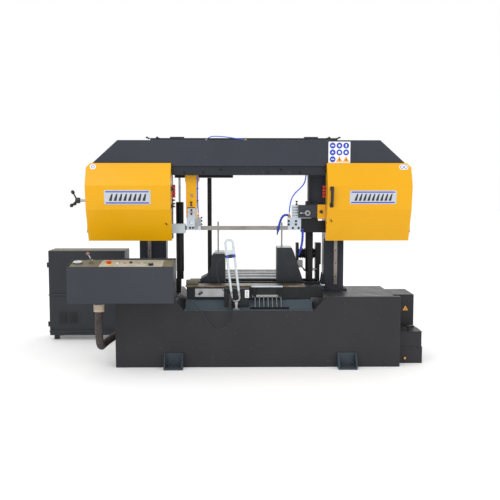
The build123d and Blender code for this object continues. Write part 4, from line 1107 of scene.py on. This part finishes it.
switch = Piece("selector_switch").add(turned([(0, 0), (12.8, 0), (12.8, 9), (11, 11), (0, 11)], 28),
    black_plastic,
                                      on_desk(foot_of("selector")))
switch.add(block(6.4, 25, 11, 1.6), black_plastic, on_desk(foot_of("selector"), 15))
switch.add(block(1.6, 9, 0.6, 0.2), white_plastic,
    on_desk(foot_of("selector"), 20.6) @ Matrix.Translation(mm(0, 7, 0)))
switch.done("selector", "black_plastic", "selector")

dial = Piece("feed_dial")
ridged = [(16.6 + 0.7 * math.cos(12 * a), a) for a in [math.tau * i / 96 for i in range(96)]]
dial.add(plate([(r * math.cos(a), r * math.sin(a)) for r, a in ridged], 15, 1.2), black_plastic,
    on_desk(knob_scale, 2))
dial.add(turned([(0, 0), (10, 0), (9, 1.6), (0, 1.6)], 24), grey_plastic, on_desk(knob_scale, 17))
dial.add(block(1.8, 10, 0.6, 0.2), white_plastic,
    on_desk(knob_scale, 18.6) @ Matrix.Translation(mm(0, 5, 0)))
dial.done("feed_knob", "black_plastic", "feed_knob")

valve, valve_foot = Piece("valve_joystick"), foot_of("valve_lever")
axis_x = box("valve_lever").x1 - 11
valve_foot.x = axis_x / 1000
lean = Matrix.Rotation(math.radians(-26), 4, "Y")
valve_base = [(0, 2), (6.6, 2), (6.6, 20), (10.6, 22), (10.6, 33), (7, 36), (0, 36)]
valve.add(turned(valve_base, 24), chrome, on_desk(valve_foot))
boot = [(10, 30), (9, 33), (9.6, 35), (7.4, 38), (8, 40), (5.6, 43), (0, 43)]
valve.add(turned([(0, 28)] + boot, 24), cable_rubber, on_desk(valve_foot))
stick = [(0, 4), (4, 4), (3.6, 38), (0, 38)]
ball = [(0, 36), (6, 36.6), (10.4, 41), (12, 48), (10.6, 55), (6, 60), (0, 61.4)]
tilted = on_desk(valve_foot, 30) @ lean
valve.add(turned(stick, 16), chrome, tilted)
valve.add(turned(ball, 24), clay_plastic, tilted)
valve.done("valve_lever", "hard_chrome", "valve_lever")
print("controls fitted")

# %% [markdown]
# ## Work lamp
#
# The lamp is a bent loop of frosted tube on a pivot, with a blue strap and a dark clip round its
# two legs. The loop is redrawn as one tube along a path, since a bend made of straight pieces
# would show. It leans with its joint, so all of it rides on the lamp's own body.

# %% Lamp loop
lamp = box("lamp_arm")
lamp_lean, lamp_half, lamp_tube = math.radians(6.8), 27.5, 9
pivot_x, pivot_z, lamp_y = -175, 464, (lamp.y0 + lamp.y1) / 2
lamp_up = Vector((-math.sin(lamp_lean), 0, math.cos(lamp_lean)))
lamp_side = Vector((math.cos(lamp_lean), 0, math.sin(lamp_lean)))
pivot = mm(pivot_x, lamp_y, pivot_z)


def lamp_at(side, height):
    return pivot + lamp_side * side / 1000 + lamp_up * height / 1000


def half_round(height, way, steps=14):
    """Points of a half circle that joins the two legs at a height."""
    turns = [math.pi * i / steps for i in range(steps + 1)]
    return [lamp_at(-lamp_half * math.cos(a), height + way * lamp_half * math.sin(a)) for a in turns]


lamp_top, strap_height, clip_height = 440, 347, 378
bend = half_round(lamp_top, 1)
tube_line = [lamp_at(-lamp_half, h) for h in (52, 200, 330, 425)] + bend + [lamp_at(lamp_half,
    h) for h in (425, 330, 200, 52)]
light = Piece("lamp_loop").add(swept(tube_line, lamp_tube, 18), lamp_glass)
low_bend = half_round(40, -1)
legs_low = [lamp_at(-lamp_half, 60)] + low_bend + [lamp_at(lamp_half, 60)]
light.add(swept(legs_low, lamp_tube + 0.4, 18), bright_steel)
light.add(turned([(0, -8), (12.6, -8), (13, -7), (13, 7), (12.6, 8), (0, 8)], 28), bright_steel,
    lined_up(pivot, front))
light.add(swept([lamp_at(0, 8), lamp_at(0, 16)], 7, 16), bright_steel)
for side in (-1, 1):
    for height, tall in ((64, 26), (250, 12)):
        sleeve_line = [lamp_at(side * lamp_half, height), lamp_at(side * lamp_half, height + tall)]
        light.add(swept(sleeve_line, lamp_tube + 1.4, 18),
            bright_steel if height < 100 else white_plastic)
strap_place = lined_up(lamp_at(0, strap_height), front, lamp_side)
light.add(block(72, 25, 20, 5), vinyl_blue, strap_place)
light.add(block(30, 26, 23, 3), black_plastic, strap_place)
light.add(block(54, 30, 13, 3), lamp_glass, lined_up(lamp_at(0, clip_height), front, lamp_side))
light.done("lamp_arm", "guide_alloy", "lamp_arm")
print("lamp", round(1000 * (lamp_at(0, lamp_top + lamp_half) - pivot).length), "mm tall")

# %% [markdown]
# ## Coolant hoses and air tubes
#
# The two coolant hoses are chains of snap-together plastic segments, which hold any curve they
# are bent to. Each segment is a cup with a ball in the next one. Points are set at equal steps
# along the hose's line, and Geometry Nodes put one segment on each point, turned along the line.
# The hose can then be given another curve and still be whole. A thin blue tube serves each guide.

# %% Segmented hoses
def segment(tree, inlet):
    """One hose segment: a collar and the cone that runs into the next collar."""
    wide, long = inlet["Segment radius"], inlet["Segment length"]
    waist = scaled(tree, wide, 0.5)
    ring = add(tree, "GeometryNodeMeshCone", {
        "Vertices": 16, "Radius Top": wide, "Radius Bottom": scaled(tree, wide, 0.82),
            "Depth": scaled(tree, long, 0.45)})
    neck = add(tree, "GeometryNodeMeshCone", {
        "Vertices": 16, "Radius Top": waist, "Radius Bottom": wide, "Depth": scaled(tree, long, 0.55)})
    return stacked(tree, [(ring.outputs[0], 0.0), (neck.outputs[0], scaled(tree, long, 0.45))])


segment_tree = repeat_tree("hose_segments", {"Segment radius": 0.009, "Segment length": 0.014},
    segment, blue_hose)
blade_y = band_y
segment_r, segment_long, segment_step = 10.5, 17.5, 17
hose_routes = {
    "front_coolant_hose": [(229, blade_y - 20, 1088), (208, blade_y - 24, 1106),
        (172, blade_y - 25, 1092),
                           (150, blade_y - 22, 1030), (141, blade_y - 18, 982)],
    "rear_coolant_hose": [(326, blade_y - 46, 995), (328, blade_y - 46, 930), (318, blade_y - 46, 860),
                          (308, blade_y - 46, 828)]}
nozzles = Piece("coolant_nozzles")
for name, route in hose_routes.items():
    line = evenly(points_along(route), segment_step)
    ways = [(b - a).normalized() for a, b in zip(line, line[1:])]
    places = [(*(1000 * p), tuple(w)) for p, w in zip(line, ways)]
    repeated(name, segment_tree, {"Segment radius": segment_r, "Segment length": segment_long}, places, "bow",
        "hose_blue")
    tip = lined_up(line[-1], ways[-1])
    cone = [(0, -4), (8, -4), (8, 4), (6.5, 8), (4, 34), (2.6, 36), (0, 36)]
    nozzles.add(turned(cone, 18), black_plastic if "front" in name else blue_hose, tip)
    nozzles.add(block(18, 18, 12, 3), black_plastic, lined_up(line[0], ways[0]))
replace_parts(nozzles.done("bow", "hose_blue"), "coolant_hoses")
print("hoses", list(hose_routes))

# %% Air tubes, with their fittings and clips
air_tube_r = 4.5
right_tube_route = [(349, -112, 1398), (346, -118, 1352), (312, -120, 1305), (262, -116, 1262),
    (230, -110, 1200),
                    (225, -106, 1118)]
air = hanging_line("right_guide_air_tube", right_tube_route, air_tube_r)
air.data.materials.append(blue_tube)
settled(air, "bow", "hose_blue")
air_points = points_along(right_tube_route)
fitting = Piece("right_guide_air_fitting")
nipple = [(0, 0), (6, 0), (6, 12), (7.4, 12), (7.4, 20), (5.2, 22), (5.2, 32), (0, 32)]
fitting.add(turned(nipple, 12), brass, here(225, -106, 1082, up))
fitting.add(turned([(0, 0), (7, 0), (7, 5), (0, 6)], 12), brass, here(349, -112, 1396, up))
fitting = fitting.done("bow", "guide_alloy")
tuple(air_points[0])
round(length_of(air_points), 3)
arm_tube = Piece("left_guide_air_tube")
arm_line = points_along([(arm_box.x1 - 9, arm_box.y0 - 6, 1396), (arm_box.x1 - 8, arm_box.y0 - 5, 1345),
                         (arm_box.x1 - 10, arm_box.y0 + 6, 1290), (arm_box.x1 - 10, arm_box.y0 + 8, 1200),
                         (arm_box.x1 - 6, arm_box.y0 + 10, 1116)])
arm_tube.add(swept(arm_line, air_tube_r, 12), blue_tube)
for z in (1299, 1207):
    arm_tube.add(block(16, 12, 10, 2), black_plastic, here(arm_box.x1 - 11, arm_box.y0 + 7, z))
arm_tube.add(turned(nipple, 12), brass, here(arm_box.x1 - 6, arm_box.y0 + 10, head_box.z1 - 70, up))
arm_tube.done("left_guide", "hose_blue")
beam_tube = Piece("beam_air_tube")
beam_top = beam_box.z1
over = points_along([(-400, -140, beam_top + 2), (-385, -140, beam_top + 22), (-345, -141, beam_top + 33),
                     (-250, -143, beam_top + 27), (-160, -141, beam_top + 12),
                         (-105, -140, beam_top + 4)])
beam_tube.add(swept(over, 3.4, 12), blue_tube)
for point in (over[0], over[-1]):
    beam_tube.add(turned([(0, -2), (8, -2), (8, 5), (5, 8), (0, 8)], 12), brass, lined_up(point, up))
beam_tube.done("bow", "hose_blue")
print("air tube", round(1000 * length_of(air_points)), "mm long")

# %% [markdown]
# ## Blade guides
#
# The guide arm is a folded amber bracket with a milled block below it. The block holds the band
# between carbide pads with cap screws. These small parts sit in the middle of the picture, so
# each gets its own turned shape.

# %% Details of the two guides
guide_bits = Piece("left_guide_details")
knob = [(0, -16), (9, -16), (9.5, -12), (3.4, -2), (3.4, 2), (9.5, 12), (9, 16), (0, 16)]
arm_front = arm_box.y0
guide_bits.add(turned([(0, 0), (11, 0), (11, 3), (8, 5), (8, 9), (0, 9)], 6), bright_steel,
    here(arm_box.x0 + 51, arm_front, 1248, front))
guide_bits.add(turned(knob, 20), black_plastic, here(arm_box.x0 + 45, arm_front - 6, 1186))
guide_bits.add(block(58, 4, 7, 1), black_plastic, here(arm_box.x0 + 43, arm_front - 1, 1156))
guide_bits.add(block(46, 3, 5, 1), red_plastic, here(arm_box.x0 + 45, head_box.y0 - 1, 1122))
disc = [(0, 0), (15, 0), (15, 3), (13, 4.5), (5, 4.5), (5, 2), (0, 2)]
guide_bits.add(turned(disc, 28), chrome, here(head_box.x0 + 37, head_box.y0, 1041, front))
guide_bits.add(turned(disc, 20), bright_steel, here(head_box.x0 + 74, head_box.y0, 1008, front))
guide_bits.add(block(12, 30, 26, 3), black_plastic, here(head_box.x0 - 4, -72, 1003))
guide_bits.add(block(44, 2, 60, 1), milled_steel, here(head_box.x0 + 84, head_box.y0 - 0.5, 1046))
guide_bits.done("left_guide", "guide_alloy")

bracket = box("right_guide")
right_bits = Piece("right_guide_details")
block_front = bracket.y0 + 30
right_bits.add(turned(knob, 20), black_plastic, here(281, -96, 1191))
right_bits.add(turned([(0, 0), (4, 0), (4, 20), (0, 20)], 12), bright_steel, here(281, -96, 1172, up))
right_bits.add(turned([(0, 0), (10.5, 0), (10.5, 28), (8, 31), (0, 31)], 20), black_plastic,
    here(356, -108, 1174, up))
right_bits.add(turned([(0, 0), (12, 0), (12, 8), (10, 11), (4, 11), (4, 7), (0, 7)], 24),
    black_plastic, here(461, bracket.y0, 1126, front))
for i in range(4):
    right_bits.add(block(44, 4, 9, 1.5), milled_steel, here(269, -101, 1096 + 20 * i))
right_bits.add(block(88, 1, 5, 0.3), bright_steel, here(345, block_front, 1078))
right_bits.done("bow", "guide_alloy")

lever, lever_place = Piece("guide_clamp_lever"), here(362, box("clamp_lever").y1 - 26, 1115, front)
ring = [(8.5, 6), (22, 6), (22.5, 8), (22.5, 14), (20, 16), (11, 16), (10, 14), (8.5, 14), (8.5, 6)]
lever.add(turned(ring, 32), bright_steel, lever_place)
lever.add(turned([(0, -20), (7.8, -20), (7.8, 12), (0, 12)], 20), black_plastic, lever_place)
lever.add(block(13, 13, 6, 1), black_plastic,
    lever_place @ Matrix.Rotation(0.6, 4, "Z") @ Matrix.Translation(mm(0, 0, 15)))
arm_way = lined_up(lever_place @ mm(0, 0, 11), left, up)
lever.add(turned([(0, 18), (4.6, 18), (4, 40), (0, 40)], 14), bright_steel, arm_way)
lever.add(turned([(0, 38), (6, 39), (9.6, 45), (9.6, 52), (6, 58), (0, 60)], 20), bright_steel, arm_way)
lever.done("clamp_lever", "black_plastic", "clamp_lever")
print("guides detailed")

# %% [markdown]
# ## Tension handle, seals and couplings
#
# The three-armed handle stretches the band. Its hub, arms and ball ends are turned steel and
# phenolic. Red seals and hose couplings show between the wheel housings and the columns.

# %% Three-armed handle
star = box("star_handle")
hub = mm(star.x0 + 28, (star.y0 + star.y1) / 2 - 3, axle_z)


def star_way(i):
    """The direction of one arm: it leans away from the housing."""
    a = math.radians(95 + 120 * i)
    return Vector((-0.45, 0.9 * math.cos(a), 0.9 * math.sin(a))).normalized()


handle = Piece("tension_handle")
handle.add(turned([(0, -104), (9.8, -104), (9.8, 10), (0, 10)], 20), bright_steel,
    lined_up(hub, left, up))
handle.add(turned([(0, -22), (19, -22), (22, -18), (22, 6), (17, 13), (0, 14)], 28), black_plastic,
    lined_up(hub, left, up))
for i in range(3):
    spoke = lined_up(hub, star_way(i))
    handle.add(turned([(0, 0), (6.6, 0), (5.4, 58), (0, 58)], 16), black_plastic, spoke)
    handle.add(turned([(0, 54), (7, 55), (12, 61), (14, 70), (12, 79), (7, 85), (0, 86)], 22),
        black_plastic, spoke)
handle.done("star_handle", "black_plastic", "star_handle")

seals = Piece("bow_seals_and_couplings")
for x, z0 in ((486, 1228), (left_cover.x1 + 12, 1228)):
    for i in range(4):
        seals.add(block(24, 26, 18, 4), red_plastic, here(x, -122, z0 + 12 + 24 * i))
        seals.add(block(18, 20, 8, 1), black_plastic, here(x, -122, z0 + 24 + 24 * i))
for z in (1212, 1186, 1164):
    seals.add(turned([(0, 0), (9, 0), (9, 12), (6, 14), (6, 26), (0, 26)], 14), black_plastic,
              here(left_cover.x1 - 8, -126, z, right, up))
    seals.add(turned([(0, 0), (6, 0), (6, 8), (0, 8)], 6), brass,
        here(left_cover.x1 + 14, -126, z, right, up))
seals.done("bow", "red_plastic")
print("handle and seals fitted")

# %% [markdown]
# ## Motor, cabinet and tank
#
# These are seen from the sides and the back. A motor has a fan cowl with slots and a terminal
# box, a cabinet has a latch, a rain ledge and vents, and a tank has a sight glass. The slots are
# one Geometry Nodes row each.

# %% Slots, ledges and boxes
def slot_shape(tree, inlet):
    """A thin louvre blade."""
    size = add(tree, "ShaderNodeCombineXYZ", {
        "X": inlet["Slot length"], "Y": inlet["Slot width"], "Z": inlet["Slot depth"]})
    return add(tree, "GeometryNodeMeshCube", {"Size": size.outputs[0]}).outputs[0]


slot_sizes = {"Slot length": 0.06, "Slot width": 0.005, "Slot depth": 0.004}
slot_tree = repeat_tree("louvre_row", slot_sizes, slot_shape, black_plastic)
vents = [(door.x0 + 130 + 90 * k, door.y0 - 0.5, 150 + 14 * i, front) for k in range(2) for i in range(7)]
repeated("cabinet_vents", slot_tree, {"Slot length": 70, "Slot width": 5, "Slot depth": 4}, vents,
    "cabinet_door", "black_plastic")
back_vents = [(cabinet_box.x0 + 160 + 110 * k, cabinet_box.y1, 560 + 16 * i,
    (0, 1, 0)) for k in range(3) for i in range(8)]
repeated("cabinet_back_vents", slot_tree, {"Slot length": 90, "Slot width": 6, "Slot depth": 4},
    back_vents, "base", "black_plastic")

rolled("cabinet", cabinet_paint, 2, [(khaki_paint, lambda p: p.z > cabinet_box.z1 - 4)])
ledge = Piece("cabinet_door_trim")
middle_x, wide_x = (door.x0 + door.x1) / 2 + 6, door.x1 - door.x0 - 20
for z, tall in ((396, 7), (82, 6)):
    ledge.add(block(wide_x, 5, tall, 1.5), apron_paint, here(middle_x, door.y0 - 1, z))
    ledge.add(block(wide_x, 2, 5, 0.6), black_plastic, here(middle_x, door.y0 - 0.4, z - tall))
ledge.add(turned([(0, 0), (13, 0), (13, 5), (11, 7), (0, 7)], 24), chrome,
    here(door.x1 - 50, door.y0 + 1, 470, front))
ledge.add(block(9, 8, 46, 3), chrome, here(door.x1 - 50, door.y0 - 8, 462))
ledge.done("cabinet_door", "cabinet_paint")
hood = Piece("cabinet_top_trim")
hood.add(block(cabinet_box.x1 - cabinet_box.x0 - 16, 14, 10, 2), khaki_paint,
         here((cabinet_box.x0 + cabinet_box.x1) / 2 + 6, cabinet_box.y0 + 20, cabinet_box.z1 - 4))
hood.done("base", "cabinet_paint")

motor = box("gear_motor")
motor_x, motor_y = (motor.x0 + motor.x1) / 2, motor.y1 - 83
motor_bits = Piece("motor_details")
motor_bits.add(turned([(0, -2), (74, -2), (74, 0), (70, 1.5), (0, 1.5)], 40), black_paint,
    here(motor_x, motor_y, motor.z1))
motor_bits.add(block(70, 30, 90, 5), black_paint, here(motor_x, motor.y1 - 4, 1420))
motor_bits.add(turned([(0, 0), (9, 0), (9, 14), (6, 17), (0, 17)], 12), black_plastic,
    here(motor_x, motor.y1 - 6, 1376, down, right))
motor_bits.add(block(54, 1.4, 26, 0.5), badge_silver, here(motor_x, motor.y1 + 11, 1430))
motor_bits.done("bow", "black_paint")
grille = [(motor_x + 10 * (k - 5), motor_y, motor.z1 + 1.5, up) for k in range(11)]
repeated("motor_fan_grille", slot_tree, {"Slot length": 4, "Slot width": 90, "Slot depth": 3}, grille,
    "bow", "black_plastic")
gear_bolts = [(motor_x + dx, motor.y0 + 120, motor.z0 + dz, (0, 1, 0)) for dx in (-76, 0,
    76) for dz in (14, 186)]
repeated("gearbox_bolts", hex_tree, {"Head radius": 7, "Head height": 6}, gear_bolts, "bow", "bare_steel")

tank = box("coolant_tank")
tank_bits = Piece("tank_details")
tank_bits.add(block(3, 16, 70, 3), lamp_glass, here(tank.x1 - 3, -200, 180))
tank_bits.add(turned([(0, 0), (11, 0), (11, 10), (8, 12), (0, 12)], 6), brass,
    here(tank.x0 + 60, tank.y0, 40, front))
tank_bits.add(turned([(0, 0), (16, 0), (16, 8), (0, 8)], 24), black_plastic,
    here(tank.x0 + 80, tank.y1 - 40, tank.z1 - 6))
tank_bits.done("base", "machine_paint")
lid_knob = Piece("tank_lid_knob")
lid_box = box("tank_lid")
lid_knob.add(turned([(0, -4), (6, -4), (6, 2), (12, 5), (13, 9), (11, 13), (0, 14)], 24), black_plastic,
             here((lid_box.x0 + lid_box.x1) / 2, lid_box.y0 + 21, lid_box.z1))
lid_knob.done("tank_lid", "black_plastic")
print("motor, cabinet and tank detailed")

# %% Small things on the table and the bed
table_bits = Piece("table_details")
table_bits.add(block(92, 60, 30, 2), khaki_paint, here(plates_box.x0 + 46, -150, plates_box.z1 + 15))
hole_plate = box("outfeed_front")
table_bits.add(turned([(0, 0), (11, 0), (11, 0.6), (0, 0.6)], 28), black_plastic,
    here(hole_plate.x0 + 38, hole_plate.y0, 529, front))
table_bits.add(block(44, 16, 62, 3), white_plastic, here(331, 177, 700))
for i, finish in ((0, beige_collar), (1, black_plastic)):
    wire = points_along([(345, 180, 690), (362, 184, 640 - 12 * i), (420, 181, 668 - 10 * i),
        (468, 181, 654 - 14 * i)])
    table_bits.add(swept(wire, 4, 10), finish)
table_bits.done("base", "table_steel")
print("table dressed")

# %% [markdown]
# ## Floor, light and sky
#
# A pale floor and soft studio light show the machine without drama. Three large area lamps make
# the broad highlights on the covers, and a bright, even sky fills the shadows, as a white studio
# sweep does. The floor gives off a little light of its own, so that it fades into the sky instead
# of meeting it at a grey line.

# %% Stage
floor_data = bpy.data.meshes.new("floor")
reach, floor_glow = 30, 0.16
floor_data.from_pydata([(-reach, -reach, 0), (reach, -reach, 0), (reach, reach, 0),
    (-reach, reach, 0)], [], [(0, 1, 2, 3)])
floor = bpy.data.objects.new("floor", floor_data)
material, tree, shader, where = started("pale_studio_floor")
shader.inputs["Base Color"].default_value = linear("f4f4f4")
shader.inputs["Roughness"].default_value = 0.9
shader.inputs["Emission Color"].default_value = linear("ffffff")
shader.inputs["Emission Strength"].default_value = floor_glow
floor_data.materials.append(material)
bpy.context.scene.collection.objects.link(floor)

world = bpy.data.worlds.new("white_studio")
bpy.context.scene.world = world
world.use_nodes = True
world.node_tree.nodes["Background"].inputs["Color"].default_value = linear("ffffff")
world.node_tree.nodes["Background"].inputs["Strength"].default_value = 1.0
for name, place, aim, size, power in (
        ("key", (-2.6, -4.2, 4.4), (0, 0, 1.0), 2.6, 55),
            ("fill", (3.4, -3.6, 3.0), (0, 0, 0.9), 2.2, 20),
        ("rear", (0.5, 4.5, 4.0), (0, 0, 1.0), 3.0, 30)):
    lamp = bpy.data.objects.new(name, bpy.data.lights.new(name, "AREA"))
    lamp.data.size, lamp.data.energy = size, power
    lamp.location = place
    lamp.rotation_euler = (Vector(aim) - Vector(place)).to_track_quat("-Z", "Y").to_euler()
    bpy.context.scene.collection.objects.link(lamp)
bpy.context.scene.view_settings.view_transform = "Standard"
print("stage set")
